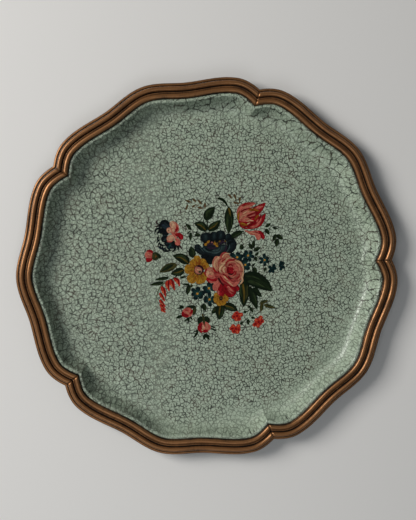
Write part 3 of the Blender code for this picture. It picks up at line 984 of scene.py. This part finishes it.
def ochre_flower():
    s = Strokes()
    petals = (
        ((-12, 2), (-17, 10.4), 11), ((-11, 2), (-12.4, 14), 7.5), ((-9, 2), (-4.6, 9.8), 7.5),
        ((-7, 0), (0.2, 3.2), 7.5), ((-14, -1), (-26, 0.4), 10), ((-13, -4), (-22, -14), 10.5),
        ((-11, -5), (-8.6, -16.4), 10.5), ((-8, -4), (-2.4, -12.4), 7.5),
    )
    for root, tip, width in petals:
        s.petal("ochre", width, root, tip)
    for root, tip, width in petals:
        root, tip = Vector(root), Vector(tip)
        aside = Vector((-(tip - root).y, (tip - root).x)).normalized() * width * 0.2
        s.line("rust", 1.1, root + aside, root.lerp(tip, 0.75) + aside)
        s.line("rust", 0.9, root - aside, root.lerp(tip, 0.6) - aside)
    s.line("rust", 2, (-11, 3), (-9.6, 8), (-11, 11))
    s.line("rust", 2, (-5.5, 3), (-3, 0.5))
    s.round("moss", 10.5, (-16, -1.4), (-5.6, -1.8))
    s.round("dusk", 9, (-15.4, -1.2), (-7, -1.8))
    s.line("aubergine", 2.3, (-12.6, 3.0), (-8.2, 1.8), (-6.6, -2), (-9, -6))
    s.line("blush", 2.4, (-13.8, 0.8), (-13.4, -3), (-11, -5))
    s.round("moss", 2.6, (-10.8, -2.6), (-9.0, -4.4))
    s.round("cream", 1.6, (-12.6, -0.4), (-11, -1.6))
    return s


def small_ochre_flower():
    s = Strokes()
    for tip in ((4.4, -27.6), (3.4, -35), (8, -40.6), (14.6, -40), (19.6, -34), (17.6, -27.4)):
        s.petal("ochre", 6.4, (11.2, -32.6), tip)
        s.line("rust", 1.1, (11.2, -32.6), Vector((11.2, -32.6)).lerp(Vector(tip), 0.7))
    s.round("aubergine", 4.4, (9.4, -32.4), (13.2, -33))
    s.round("dull_gold", 1.6, (10.6, -31.8), (11.8, -33.2))
    return s


def leaves_above():
    s = Strokes()
    s.line("leaf", 3.0, (12.3, 73), (17, 71.6), (20.6, 68), (23.4, 62.6))
    s.blade("leaf", 10, (23.8, 64), (23.6, 49), (22.4, 34))
    s.leaf("leaf_light", 3.4, (22.8, 56), (21.4, 47), (21.8, 38))
    s.leaf("leaf_light", 1.4, (26, 55), (26.2, 47), (24.8, 40))
    s.line("leaf_gold", 2.4, (23.6, 62.4), (24.6, 58), (25.3, 53))
    s.line("leaf", 1.4, (34.6, 44.4), (30.5, 41.6), (26.6, 41))
    s.line("leaf", 1.3, (0, 51), (0.4, 44), (-0.6, 37))
    s.whole_leaf((-1.4, 50.4), (9.2, 64), 10, bend=1.2)
    s.whole_leaf((0.5, 40), (14.6, 50), 8.5, bend=-1.0, rib="leaf_gold")
    s.whole_leaf((-0.6, 39.4), (-13.4, 48.2), 9, bend=-1.4, rib="leaf_gold", light=-1)
    s.whole_leaf((24.6, 31), (38.2, 37), 6.2, bend=0.8, light=-1)
    s.line("leaf", 0.9, (-7.4, 36), (-12, 38), (-17.4, 41.4))
    for base, tip, width in (
        ((-16.6, 41), (-22.3, 48.4), 3.6), ((-17.4, 38.4), (-18.4, 29.6), 3.6),
        ((-13.6, 35.6), (-7, 35.4), 3.8), ((-17.4, 40.4), (-22, 36.8), 1.5),
        ((-12.4, 38.6), (-9.6, 38.6), 1.6),
    ):
        s.whole_leaf(base, tip, width)
    return s


def leaves_left():
    s = Strokes()
    s.whole_leaf((-16.2, 11.6), (-18, 24), 8, light=-1)
    s.whole_leaf((-20.4, 6), (-37.4, 15), 10, bend=-1.6, rib="leaf_gold", light=-1)
    s.whole_leaf((-33.6, 5.4), (-52.6, -2), 8.6, bend=-0.6, paint="olive", light=-1)
    s.leaf("leaf", 2.6, (-37, 5.6), (-45, 1.4), (-52, -1.4))
    s.whole_leaf((-26, -0.6), (-40.6, -4), 8.6, bend=0.6, rib="leaf_gold")
    s.whole_leaf((-42.6, -8), (-57.6, -9.6), 3.9)
    s.whole_leaf((-48.6, -12.8), (-63, -14.7), 4.2)
    s.whole_leaf((-31, -9), (-25.2, -7.6), 2.6)
    s.whole_leaf((-21, -16.8), (-28.6, -15.4), 2.4)
    s.whole_leaf((-21.4, -16.6), (-24.6, -27.4), 5)
    s.round("moss", 2.4, (-19.4, -16), (-19, -19.6))
    s.line("leaf", 1.1, (-33, -5.6), (-38, -9), (-43, -10.6))
    return s


def leaves_right():
    s = Strokes()
    for tip in ((55.6, -11.8), (47, -22.6), (57, -25.4)):
        s.blade("leaf", 5.4, (46, -16.4), tip)
    s.leaf("leaf", 17, (34.6, -10.6), (46, -13.6), (56, -19), (66.6, -27.8), teeth=0.10)
    s.leaf("leaf_light", 5, (40, -16.4), (49, -18), (59, -23.6))
    s.leaf("leaf_light", 1.8, (38, -10.4), (46, -11.4), (54, -15))
    s.line("leaf", 1.0, (37, -13), (48, -16), (60, -23.6))
    s.leaf("leaf", 12, (37.6, -14), (36.4, -28), (35, -43.4), teeth=0.12)
    s.leaf("moss", 3.4, (39.6, -20), (39.8, -28), (37.4, -36))
    s.leaf("leaf_light", 2.4, (33.6, -19), (32.4, -26), (33.4, -33))
    s.line("leaf_gold", 2.6, (35, -18), (36.2, -28), (35.4, -39.6))
    s.line("sage", 0.8, (42.4, -22), (42.6, -28), (41, -35))
    for tip, width in (((55.4, -33.8), 6), ((42.6, -39.6), 5), ((53, -29), 6)):
        s.blade("leaf", width, (45, -24), tip)
    s.leaf("leaf", 9, (41.6, -21.6), (45.6, -33), (49.2, -46.6), teeth=0.15)
    s.leaf("leaf_light", 2.6, (45.6, -28), (48, -35), (48.6, -41))
    for base, tip, width in (
        ((52.4, -40.4), (61.6, -37.4), 3.8), ((56.6, -42), (68.6, -46), 4.2),
        ((55, -40.6), (53.4, -49.2), 4.4),
    ):
        s.whole_leaf(base, tip, width, paint="olive")
    for base, tip, width in (
        ((39.4, -44.2), (42.8, -42), 1.8), ((42, -43.6), (45, -50), 2.6),
        ((34.6, -49.2), (38.4, -48), 2.6), ((42.6, -54.6), (47, -56), 2.2),
        ((30.4, -60), (33.6, -61.4), 2.6), ((39.6, -56.4), (38.8, -62.8), 2.8),
        ((61.8, 40.4), (67.8, 44.2), 2.8), ((61.8, 38.6), (65.8, 32), 3.2), ((69, 39.8), (75, 38), 2.0),
        ((72.8, 32.4), (69.4, 25), 3.6), ((73.6, 31.8), (79.8, 26.2), 3.8),
        ((74.2, 27.6), (72.4, 18.8), 3.8), ((35.4, 17.4), (36, 23.8), 3.8),
        ((46.6, 17.6), (43.6, 24.4), 3), ((47.4, 18.4), (49.2, 27.4), 3.2),
        ((48.2, 16), (55.8, 19.2), 3.4), ((49.4, 10.6), (53.8, 14.2), 2.4),
        ((49.4, 9.6), (51.2, 4.6), 3.0), ((45.4, -0.6), (49.8, 2.8), 1.8),
        ((46.4, -1.8), (50.8, -7.4), 4), ((60.6, -2.2), (58.4, -7.4), 2.2),
    ):
        s.whole_leaf(base, tip, width * 1.25)
    for points in (
        ((36, -49), (40, -47.6), (42.6, -44)), ((41, -49.6), (42, -53.4), (45, -55)),
        ((32.6, -60.4), (36, -57.6), (39.6, -54)), ((45.4, -0.6), (46.6, -2), (46.2, -5.4)),
        ((50.4, 10.8), (49.4, 8), (46, 4)),
    ):
        s.line("leaf", 0.9, *points)
    return s


def leaves_below():
    s = Strokes()
    s.whole_leaf((8.4, -41.4), (0.6, -48.6), 6, light=-1)
    s.leaf("moss", 2.2, (7, -43), (3.4, -46))
    s.whole_leaf((-8.2, -37.6), (-5.4, -45.4), 5.4)
    s.line("leaf_light", 0.8, (-11, -38.6), (-10, -43), (-9.2, -49))
    s.leaf("leaf", 10, (10.6, -38.6), (9.6, -47), (8.5, -55.4))
    s.leaf("leaf_light", 2, (13, -42), (12.6, -48), (10.4, -52))
    s.line("leaf_gold", 1.8, (10.4, -41.6), (9.2, -46), (8.6, -51))
    s.whole_leaf((13.6, -40), (28.6, -46.8), 8.6, bend=0.8, rib="leaf_gold", light=-1)
    return s


def ochre_sprigs():
    s = Strokes()
    for base, tip in (
        ((-21.4, 72.4), (-14.8, 69.6)), ((-13.8, 74), (-10.2, 69.6)), ((-8.2, 72.4), (-4.4, 66.8)),
        ((-15, 64.6), (-11, 67.4)), ((-19.2, 68), (-21.6, 61.6)), ((-9.2, 64.6), (-3, 63)),
        ((-0.8, 69), (-1.6, 63)), ((23.6, 77), (28.2, 71.8)), ((30, 77), (32.2, 70.6)),
        ((36.6, 73.6), (35.2, 67.4)), ((28.6, 68.2), (34.6, 66.2)),
    ):
        s.leaf("umber", 2.3, base, tip)
    for points in (((-11, 67.4), (-7, 66)), ((36, 68), (34.6, 66.4), (32, 66))):
        s.line("umber", 0.9, *points)
    return s


def tulip():
    s = Strokes()
    # the fallen petal
    s.drop("crimson", 4.8, (46, 36), (55.6, 34.8), (59.8, 27.6))
    s.drop("coral", 5.6, (38.4, 38.6), (46, 35), (52, 34), (54.8, 27), side=1)
    s.leaf("blush", 1.9, (42, 36.6), (48, 34.6), (53.4, 32.6))
    s.line("garnet", 1.0, (50, 36.2), (56, 33.4), (58, 29))
    # the back petals
    s.leaf("crimson", 7.0, (47, 57), (55.6, 60.6), (63.4, 66))
    s.leaf("crimson", 4.6, (51, 53), (57, 58.6), (62.8, 65.4))
    s.leaf("coral", 3.0, (51, 59.4), (56, 61.4), (60.6, 62.6))
    s.leaf("crimson", 8.0, (40, 43), (52, 43.6), (58.2, 48), (62.6, 55))
    s.leaf("coral", 8.2, (34, 50), (37, 60), (43.6, 64), (52.8, 66))
    # the body
    s.round("crimson", 17, (33, 47.4), (44, 49.6), (56, 52.4))
    s.round("coral", 13, (33, 50.4), (42, 54), (51.6, 57))
    s.line("garnet", 1.7, (35.8, 57), (40, 59.6), (46, 60.8), (50.4, 62.4))
    s.line("crimson", 1.7, (37.6, 63.4), (43, 66.4), (52.4, 66))
    s.leaf("blush", 2.6, (38, 61.2), (43, 63.4), (48.6, 62.8))
    s.line("crimson", 0.9, (39, 63.2), (44, 64.8), (49, 64.4))
    s.leaf("rust", 2.6, (33.2, 49), (33.4, 54), (35.6, 59.4))
    s.line("ochre", 1.0, (33, 48), (33.6, 53.6), (35, 57))
    s.leaf("rust", 3.2, (44, 58.4), (50, 59.4), (57, 57))
    s.leaf("blush", 3.4, (37, 54), (42, 57), (48.6, 57.4))
    s.leaf("blush", 4.0, (35, 50), (38.6, 53.4), (44, 54.4))
    s.line("cream", 1.2, (38.6, 55.4), (43, 58))
    s.line("garnet", 2.0, (42, 52.6), (49, 55.2), (57.6, 57.8))
    s.line("garnet", 2.6, (40.6, 50.4), (47, 51), (53.6, 53.4))
    s.leaf("rust", 2.4, (50.6, 48.4), (53, 51.4), (56, 53.6))
    s.line("garnet", 1.6, (55.4, 49), (57, 52), (58, 56))
    s.leaf("rust", 3.6, (34.8, 46), (39, 44), (43.4, 43.6))
    s.line("ochre", 1.4, (36.4, 45.6), (41.6, 44))
    s.leaf("blush", 1.8, (38.4, 49.2), (42, 50.4), (46, 49.4))
    s.leaf("cream", 1.5, (41.6, 47.2), (46, 48), (50, 47.4))
    s.leaf("cream", 1.9, (42.4, 44.4), (47, 45.4))
    s.line("garnet", 2.0, (43, 43), (49, 45.6), (54, 46))
    s.leaf("coral", 2.6, (45, 41.2), (51, 41.8), (56, 46), (58, 51))
    s.leaf("coral", 1.6, (52.6, 45.6), (54.6, 49))
    s.line("crimson", 1.7, (34.2, 44.4), (38, 41), (45, 39.6), (52, 40))
    return s


def direction(angle):
    return Vector((math.cos(angle), math.sin(angle)))


def cornflower():
    s = Strokes()
    for paint, width, *points in (
        ("indigo", 10, (-51, 47), (-45, 46), (-38.6, 44.6)),
        ("night", 3.4, (-48.6, 51), (-44, 51.4), (-38.8, 48.6)),
        ("night", 7, (-51, 40), (-46, 40.6), (-41, 37)),
        ("night", 7.4, (-49, 31.6), (-45.6, 32.8), (-41.4, 35)),
        ("night", 7.6, (-46, 28), (-39, 27.4), (-32, 26)),
        ("indigo", 4.2, (-44, 24), (-40, 24), (-35, 25)),
    ):
        s.round(paint, width, *points)
    for paint, width, *points in (
        ("night", 2.1, (-49, 44), (-53.6, 43.4), (-55.6, 37.8)),
        ("night", 1.8, (-52.6, 38.4), (-50, 41.6), (-45, 42.6)), ("sage", 1.2, (-50, 45.4), (-48, 44.4)),
        ("slate", 2.2, (-45, 48.6), (-42, 47), (-40, 44)),
        ("slate", 1.6, (-49, 47), (-45.6, 44.6), (-43, 42)), ("steel", 0.8, (-47.4, 50), (-43, 49.6)),
        ("sage", 1.0, (-49.4, 34), (-49, 37.6), (-46.4, 39.6)),
        ("slate", 1.6, (-47.6, 35), (-45.4, 36.8), (-43, 36)),
        ("steel", 0.8, (-47, 31), (-45, 31.6), (-44.6, 33.8)),
        ("night", 2.0, (-51.8, 36), (-52.4, 32.6), (-50.4, 29.6)),
        ("night", 2.1, (-50.6, 28.2), (-47.6, 26.2), (-44.6, 26)),
        ("indigo", 2.6, (-52.4, 25), (-48, 22.8), (-43.4, 22.4)),
        ("night", 2.2, (-48.4, 21.6), (-44, 19.8), (-37.6, 21)),
        ("slate", 2.2, (-45, 27.2), (-41.4, 28.4), (-38, 27)),
        ("teal_light", 2.6, (-41.8, 22.4), (-40, 25.4), (-38.4, 27.4)),
        ("night", 2.6, (-35.6, 27), (-34.8, 22), (-38.4, 18.4)),
        ("night", 2.6, (-34, 27), (-32, 24.6), (-31, 20.2)),
        ("aubergine", 2.0, (-31.6, 26), (-29.4, 24.4), (-27.4, 20.8)),
        ("aubergine", 1.3, (-49.4, 47.6), (-53, 46.6), (-56.4, 45.6)),
        ("aubergine", 1.5, (-51, 49), (-53, 50), (-52.4, 52.2), (-50.6, 52.8)),
    ):
        s.line(paint, width, *points)
    # the fringe of both heads, curling round
    spikes, curl = 9, 0.4
    for centre, first, last, inner, outer in (((-44.6, 45), 95, 250, 4, 8.4), ((-43, 31), 170, 330, 7, 11.6)):
        centre = Vector(centre)
        for i in range(spikes):
            angle = math.radians(first + (last - first) * i / (spikes - 1))
            way, bent = direction(angle), direction(angle + curl)
            middle = way.lerp(bent, 0.4) * (inner + outer) / 2
            s.line("night", 1.5, centre + way * inner, centre + middle, centre + bent * outer)
    # the pale petals at its side
    s.petal("coral", 5.4, (-33.4, 38), (-31.8, 43), (-35, 50))
    s.petal("peach", 6.2, (-36.4, 40), (-35.6, 46), (-37.8, 51))
    s.round("coral", 4.2, (-38, 39), (-35, 37.6), (-33.4, 33))
    s.leaf("crimson", 2.6, (-34, 40), (-31.6, 43), (-32.4, 46))
    s.petal("crimson", 5.4, (-34.4, 37), (-29.4, 36), (-26.8, 31.4))
    s.petal("coral", 6, (-34, 33), (-31.8, 29.6), (-32, 25.4))
    s.round("peach", 6.8, (-43, 31.8), (-38.6, 33.4), (-34.6, 34))
    s.round("peach", 6.6, (-42.8, 41.4), (-39.8, 41.6), (-37, 40.6))
    s.round("peach", 5.2, (-38.4, 40.6), (-35.8, 41.8), (-34, 41.8))
    s.line("coral", 1.4, (-43, 30.4), (-39, 29.8), (-36, 31))
    s.round("dull_gold", 1.3, (-41, 42), (-39.8, 41.2))
    s.line("coral", 0.9, (-38.6, 44), (-37.6, 41), (-38.2, 38.8))
    s.round("cream", 1.6, (-34.4, 31.4), (-33.8, 28.8))
    s.line("garnet", 1.2, (-33.6, 36), (-30, 34.6), (-28.4, 32))
    return s


def pink_bud():
    s = Strokes()
    s.petal("crimson", 6.2, (-58.6, 13.6), (-62, 12.4), (-66, 12))
    s.petal("crimson", 4.2, (-58, 18.6), (-60.4, 20.4), (-65, 20))
    s.petal("coral", 6.6, (-57.6, 15.4), (-62, 16.6), (-66.8, 18), side=-1)
    s.round("rose", 2.4, (-59.6, 13.6), (-62.8, 15))
    s.line("blush", 1.3, (-60, 16.4), (-65, 18.8))
    s.petal("moss", 8.6, (-51, 14.2), (-54.4, 15), (-59.4, 15.6))
    s.line("leaf", 3, (-50.8, 12.6), (-52, 16), (-55.4, 18.6))
    s.round("olive", 1.8, (-54.6, 16.6), (-57.4, 16.8))
    s.line("rust", 1.0, (-55, 15.8), (-55.6, 13.8))
    return s


def rosebuds():
    s = Strokes()
    # the bud on the left
    for base, tip, width in (
        ((-28, -40), (-33.8, -38), 2.6), ((-28.4, -40.4), (-36, -41), 2.2),
        ((-30, -49), (-37.4, -51.2), 3.4), ((-22, -51), (-29, -55.4), 2.4),
        ((-23.4, -51), (-25, -56.4), 2.4), ((-21.6, -50.4), (-20, -54.4), 1.8),
        ((-15.6, -40), (-26.4, -40.4), 3.8), ((-16, -40), (-19.4, -49.8), 3.2),
    ):
        s.whole_leaf(base, tip, width, light=0)
    s.petal("moss", 4.6, (-16, -40.6), (-17.4, -44), (-18.6, -48))
    s.round("coral", 10.2, (-30.4, -46.2), (-25, -45.8), (-19.2, -45))
    s.round("crimson", 4.2, (-30, -44.6), (-28.8, -48.4), (-23.4, -50))
    s.line("crimson", 2.4, (-20, -43), (-20.4, -45.6), (-23, -48.4))
    s.leaf("rose", 2.2, (-28, -42.4), (-24.6, -41.6), (-21.4, -42.6))
    s.leaf("blush", 1.9, (-27, -44.6), (-24.6, -46.4), (-22.4, -48.6))
    s.line("garnet", 1.2, (-28.4, -47), (-26.2, -49), (-24.2, -49.2))
    s.line("crimson", 0.9, (-27.6, -43.4), (-24.2, -43.8), (-23, -45.4))
    # the bud below
    s.line("leaf", 1.2, (-9.4, -38), (-10.2, -43.6), (-9, -50))
    for base, tip, width in (
        ((-10.4, -50.6), (-13.6, -60), 5.4), ((-6.6, -51), (-2, -58.4), 5.2),
        ((-0.8, -61.6), (4.4, -64.2), 1.8), ((-0.8, -64), (6, -67.8), 2.0),
        ((-14, -65.4), (-19, -66.8), 2), ((-14.2, -66), (-19.2, -73.4), 2.6),
        ((-7, -69.4), (-9, -76), 3.6), ((-6.4, -69.8), (-2.8, -76.6), 3.0),
        ((-6, -70), (-1.4, -73.4), 1.6),
    ):
        s.whole_leaf(base, tip, width, light=0)
    s.round("coral", 11.6, (-8, -56.4), (-7.8, -62), (-8, -68.2))
    s.round("crimson", 4.6, (-10.4, -57.8), (-12.8, -63), (-10.2, -68.4))
    s.round("crimson", 3.2, (-9.6, -67.6), (-6.6, -66.6), (-3.6, -67.2))
    s.round("coral", 3.4, (-4.6, -58.8), (-2.6, -62.6), (-4, -66.6))
    s.petal("peach", 3.2, (-9, -60), (-8, -64.6))
    s.leaf("blush", 2.2, (-6, -58.6), (-4.6, -61.6), (-5.4, -65.4))
    s.round("cream", 1.2, (-10.4, -64.6), (-10, -66.6))
    s.line("garnet", 1.0, (-10.2, -58.4), (-10.8, -62.4), (-10, -65))
    s.leaf("moss", 3.0, (-8.4, -50), (-8, -55), (-7.4, -60.6))
    s.round("moss", 3.2, (-10, -49.4), (-8, -49.8))
    s.round("dull_gold", 1.2, (-9.2, -49.2), (-8.4, -49.8))
    return s


def coral_bells():
    s = Strokes()
    s.line("sage", 1.5, (-39, -9.4), (-43, -10.8), (-50.4, -15.6), (-55, -22.6), (-56.4, -30), (-55, -36))
    for root, middle, tip, width in (
        ((-37.8, -9.2), (-34, -11.6), (-32, -16.8), 4.6),
        ((-41.6, -10), (-39.8, -14), (-37.4, -20.4), 5.0),
        ((-44, -10.8), (-44.6, -15.6), (-43.2, -21), 4.8), ((-51, -16.8), (-49, -21), (-47.2, -27), 4.6),
        ((-53.4, -23.6), (-51, -27.4), (-48.6, -32), 3.8),
        ((-53.6, -30.6), (-51.4, -34), (-48.4, -37.8), 3.8),
        ((-53.6, -35.4), (-51.2, -38.4), (-48.2, -41.4), 3.4),
        ((-52.6, -40), (-50.8, -42.2), (-48.6, -44.2), 3.2),
    ):
        root, middle, tip = Vector(root), Vector(middle), Vector(tip)
        aside = Vector((width * 0.2, width * 0.1))
        s.leaf("coral_red", width, root, middle, tip)
        s.line("garnet", width * 0.34, root + aside, middle + aside, tip - aside)
        s.leaf("flame", width * 0.36, middle - aside, middle.lerp(tip, 0.6) - aside)
        s.round("coral_red", width * 0.62, tip + Vector((-1.1, 0.2)), tip + Vector((0.9, 0.5)))
    return s


def coral_blossoms():
    s = Strokes()
    for centre, tips in (
        ((27.6, -52.4), ((24.4, -48.6), (27.4, -47.4), (34, -50.6), (30.8, -57.4), (26.4, -58), (22, -53.4))),
        ((26, -66), ((21.4, -61.6), (18.8, -65.4), (30.2, -61.8), (30.6, -68.2), (28, -71.6), (22, -70.4))),
        ((50.4, -60), ((54, -53.6), (56.4, -59), (46.4, -56.8), (44, -64), (49, -66), (52.6, -63.6))),
    ):
        for number, tip in enumerate(tips):
            root, tip = Vector(centre), Vector(tip)
            s.petal("coral_red", 4.4, root, root.lerp(tip, 0.6), tip)
            s.leaf(("flame", "garnet")[number % 2], 1.7, root.lerp(tip, 0.35), root.lerp(tip, 0.85))
        s.round("garnet", 2.0, Vector(centre) + Vector((-1.2, 0.4)), Vector(centre) + Vector((1.2, -0.6)))
    return s


# ------------------------------------------------------------------ growth: the forget-me-nots
def forget_me_not_growth():
    """Sets a whorl of six dabs and an ochre eye on every guide point, each flower turned its own way."""
    tree, given = new_growth(
        "forget_me_nots",
        ("Petals", "Int", 6),
        ("Petal Length", "Float", 6.1 * MM),
        ("Petal Width", "Float", 5.4 * MM),
        ("Film", "Float", FILM),
        ("Seed", "Int", 4),
        ("Material", "Material", None),
    )
    place = put(tree, "GeometryNodeInputPosition").outputs[0]
    index = put(tree, "GeometryNodeInputIndex").outputs[0]

    def dab(length, width, shift, rise, root_colour, tip_colour):
        """One flattened drop of paint, rounded above, lying along +X."""
        ball = put(tree, "GeometryNodeMeshUVSphere", {"Segments": 16, "Rings": 8, "Radius": 1.0}).outputs[0]
        axes = put(tree, "ShaderNodeSeparateXYZ", {0: place}).outputs
        colour = blend_colours(tree, ease(tree, axes[0], -0.9, 0.5), root_colour, tip_colour)
        ball = stored(tree, ball, "pigment", colour, "FLOAT_COLOR")
        grain = put(tree, "ShaderNodeVectorMath", {0: place, 1: (0.5, 1.4, 0.0)}, operation="MULTIPLY")
        ball = stored(tree, ball, "grain", grain.outputs[0], "FLOAT_VECTOR")
        swell = plus(tree, times(tree, axes[0], 0.22), 0.82)
        laid = put(tree, "ShaderNodeCombineXYZ", {
            0: plus(tree, times(tree, axes[0], times(tree, length, 0.5)), shift),
            1: times(tree, times(tree, axes[1], swell), times(tree, width, 0.5)),
            2: times(tree, figure(tree, "MAXIMUM", axes[2], 0.0), rise),
        }).outputs[0]
        return put(tree, "GeometryNodeSetPosition", {"Geometry": ball, "Position": laid}).outputs[0]

    def chance(low, high, salt):
        inputs = {2: low, 3: high, "Seed": plus(tree, given["Seed"], salt)}
        return put(tree, "FunctionNodeRandomValue", inputs, data_type="FLOAT").outputs[1]

    def turned(angle):
        return put(tree, "ShaderNodeCombineXYZ", {2: angle}).outputs[0]

    shift = times(tree, given["Petal Length"], 0.66)
    petal = dab(given["Petal Length"], given["Petal Width"], shift, given["Film"],
                (0.008, 0.040, 0.040, 1), (0.002, 0.008, 0.010, 1))
    share = figure(tree, "DIVIDE", index, given["Petals"])
    angle = plus(tree, times(tree, share, 2 * math.pi), chance(-0.22, 0.22, 1.0))
    ring = put(tree, "GeometryNodeMeshLine", {"Count": given["Petals"], "Offset": (0, 0, 0)}).outputs[0]
    longer, wider = chance(0.82, 1.16, 2.0), chance(0.8, 1.15, 3.0)
    sprawl = put(tree, "ShaderNodeCombineXYZ", {0: longer, 1: wider, 2: 1.0})
    whorl = put(tree, "GeometryNodeInstanceOnPoints", {
        "Points": ring, "Instance": petal, "Rotation": turned(angle), "Scale": sprawl.outputs[0]}).outputs[0]
    eye = dab(2.9 * MM, 2.7 * MM, 0.0, times(tree, given["Film"], 2.2),
              (0.30, 0.10, 0.03, 1), (0.50, 0.27, 0.030, 1))
    flower = put(tree, "GeometryNodeJoinGeometry")
    for part in (eye, whorl):
        tree.links.new(part, flower.inputs[0])
    real = put(tree, "GeometryNodeRealizeInstances", {"Geometry": flower.outputs[0]}).outputs[0]
    size, turn = named(tree, "size"), named(tree, "turn")
    spread = put(tree, "ShaderNodeCombineXYZ", {0: size, 1: size, 2: 1.0}).outputs[0]
    bed = put(tree, "GeometryNodeInstanceOnPoints", {
        "Points": given["Geometry"], "Instance": real, "Rotation": turned(turn), "Scale": spread,
    }).outputs[0]
    finish_growth(tree, bed, given["Material"])
    return tree


# Each flower: where it is, how large against the usual one, and how far it is turned.
FORGET_ME_NOTS = (
    ((30.3, 9.8), 1.0, 0.3), ((42, 11), 0.95, 0.9), ((38.5, 1.4), 0.95, 0.1), ((59.5, 5.4), 0.88, 0.5),
    ((-13.6, -26.6), 1.05, 0.2), ((-1, -21.6), 1.0, 0.7), ((-1, -33.4), 1.05, 0.4),
)


def forget_me_not_places():
    """A patch for each flower, which takes its turn in the stack and is not drawn."""
    s = Strokes()
    for (x, y), size, _ in FORGET_ME_NOTS:
        s.round("teal", 13 * size, (x - 6.5 * size, y), (x + 6.5 * size, y))
    return s


def forget_me_not_buds():
    """The two seen from the side, which have no eye."""
    s = Strokes()
    for centre, tips in (
        ((67, -3.4), ((63, -1.4), (70.6, 0.6), (71.8, -4.2), (63.4, -8.2), (68.4, -8.8))),
        ((77.4, -1.2), ((76.6, 3.8), (80, 2.6), (74.4, -1), (80.4, -4.2), (76, -6.8))),
    ):
        for tip in tips:
            s.petal("teal", 3.4, Vector(centre), Vector(centre).lerp(Vector(tip), 0.6), tip)
        s.leaf("teal_light", 1.0, Vector(centre) - Vector((0.6, 0.4)), Vector(centre) + Vector((1, 0.6)))
    return s


def make_forget_me_nots(patches, paint):
    tree = forget_me_not_growth()
    for number, (patch, ((x, y), size, turn)) in enumerate(zip(patches, FORGET_ME_NOTS), 1):
        name = f"forget_me_not_{number}"
        guide = guide_object(name, [(x * MM, y * MM, layer_height(patch))], size=[size], turn=[turn])
        keep(grow(name, tree, guide, film=FILM, seed=number * 7, material=paint), "celadon_lacquer")


def paint_bouquet(tree, paint):
    """Stacks all the strokes, the ones at the back first, and makes each group of them one piece."""
    parts = {
        "leaves_above": leaves_above(),
        "leaves_left": leaves_left(),
        "leaves_right": leaves_right(),
        "leaves_below": leaves_below(),
        "ochre_sprigs": ochre_sprigs(),
        "coral_bells": coral_bells(),
        "coral_blossoms": coral_blossoms(),
        "rosebuds": rosebuds(),
        "pink_bud": pink_bud(),
        "cornflower": cornflower(),
        "tulip": tulip(),
        "forget_me_not_buds": forget_me_not_buds(),
        "blue_peony": blue_peony(),
        "ochre_flower": ochre_flower(),
        "forget_me_nots": forget_me_not_places(),
        "small_ochre_flower": small_ochre_flower(),
        "rose": rose(),
    }
    stack_up([stroke for strokes in parts.values() for stroke in strokes])
    make_forget_me_nots(parts.pop("forget_me_nots"), paint)
    for name, strokes in parts.items():
        make_strokes(name + "_paint", tree, strokes, paint)


# ------------------------------------------------------------------ the floor, the lights and the camera
def make_stage():
    bpy.ops.mesh.primitive_plane_add(size=8, location=(0, 0, -0.0005))
    ground = bpy.context.object
    ground.name = "table_top"
    ground.data.materials.append(plain_finish("pale_table", (0.80, 0.79, 0.77), 0.6))

    world = bpy.data.worlds.new("studio")
    bpy.context.scene.world = world
    world.use_nodes = True
    world.node_tree.nodes["Background"].inputs["Color"].default_value = (0.9, 0.95, 1.0, 1)
    world.node_tree.nodes["Background"].inputs["Strength"].default_value = 0.12


def area_light(name, azimuth, elevation, distance, size, power, colour):
    """A soft square light aimed at the tray's middle."""
    data = bpy.data.lights.new(name, "AREA")
    data.size, data.energy, data.color = size, power, colour
    light = bpy.data.objects.new(name, data)
    flat = math.cos(math.radians(elevation))
    way = Vector((
        flat * math.cos(math.radians(azimuth)), flat * math.sin(math.radians(azimuth)),
        math.sin(math.radians(elevation)),
    ))
    light.location = way * distance
    light.rotation_euler = way.to_track_quat("Z", "Y").to_euler()
    bpy.context.scene.collection.objects.link(light)


def make_camera():
    """Looks down on the tray, a little from its upper left, turned a little clockwise."""
    tilt, azimuth, roll, distance = math.radians(6.2), math.radians(137), math.radians(-2.55), 1.0395
    aim_right, aim_up = -2.2 * MM, 9.4 * MM
    centre = Vector((0, 0, WIRE_HEIGHT))
    back = Vector((math.sin(tilt) * math.cos(azimuth), math.sin(tilt) * math.sin(azimuth), math.cos(tilt)))
    eye = centre + back * distance
    right = Vector((0, 1, 0)).cross(back).normalized()
    up = back.cross(right)
    right, up = (
        math.cos(roll) * right + math.sin(roll) * up,
        math.cos(roll) * up - math.sin(roll) * right,
    )
    aim = centre + right * aim_right + up * aim_up
    back = (eye - aim).normalized()
    right = up.cross(back).normalized()
    up = back.cross(right)
    data = bpy.data.cameras.new("camera")
    data.sensor_width = 36
    data.lens = 69.2
    camera = bpy.data.objects.new("camera", data)
    bpy.context.scene.collection.objects.link(camera)
    camera.matrix_world = Matrix((
        (right.x, up.x, back.x, eye.x), (right.y, up.y, back.y, eye.y),
        (right.z, up.z, back.z, eye.z), (0, 0, 0, 1),
    ))
    bpy.context.scene.camera = camera


def make_tray():
    sweep = lobed_sweep_growth()
    crackle, gilt = celadon_crackle(), copper_gilt()
    make_pan(sweep, black_lacquer(), crackle, gilt)
    make_wire(sweep, drawn_wire())
    make_mouldings(sweep, gilt)
    paint_bouquet(brush_stroke_growth(), oil_paint())


make_camera()
make_stage()
area_light("window", azimuth=154, elevation=37, distance=2.4, size=1.0, power=48, colour=(1.0, 0.98, 0.95))
area_light("fill", azimuth=250, elevation=58, distance=1.3, size=0.8, power=2.4, colour=(0.95, 0.98, 1.0))
bpy.context.scene.view_settings.view_transform = "Standard"
make_tray()
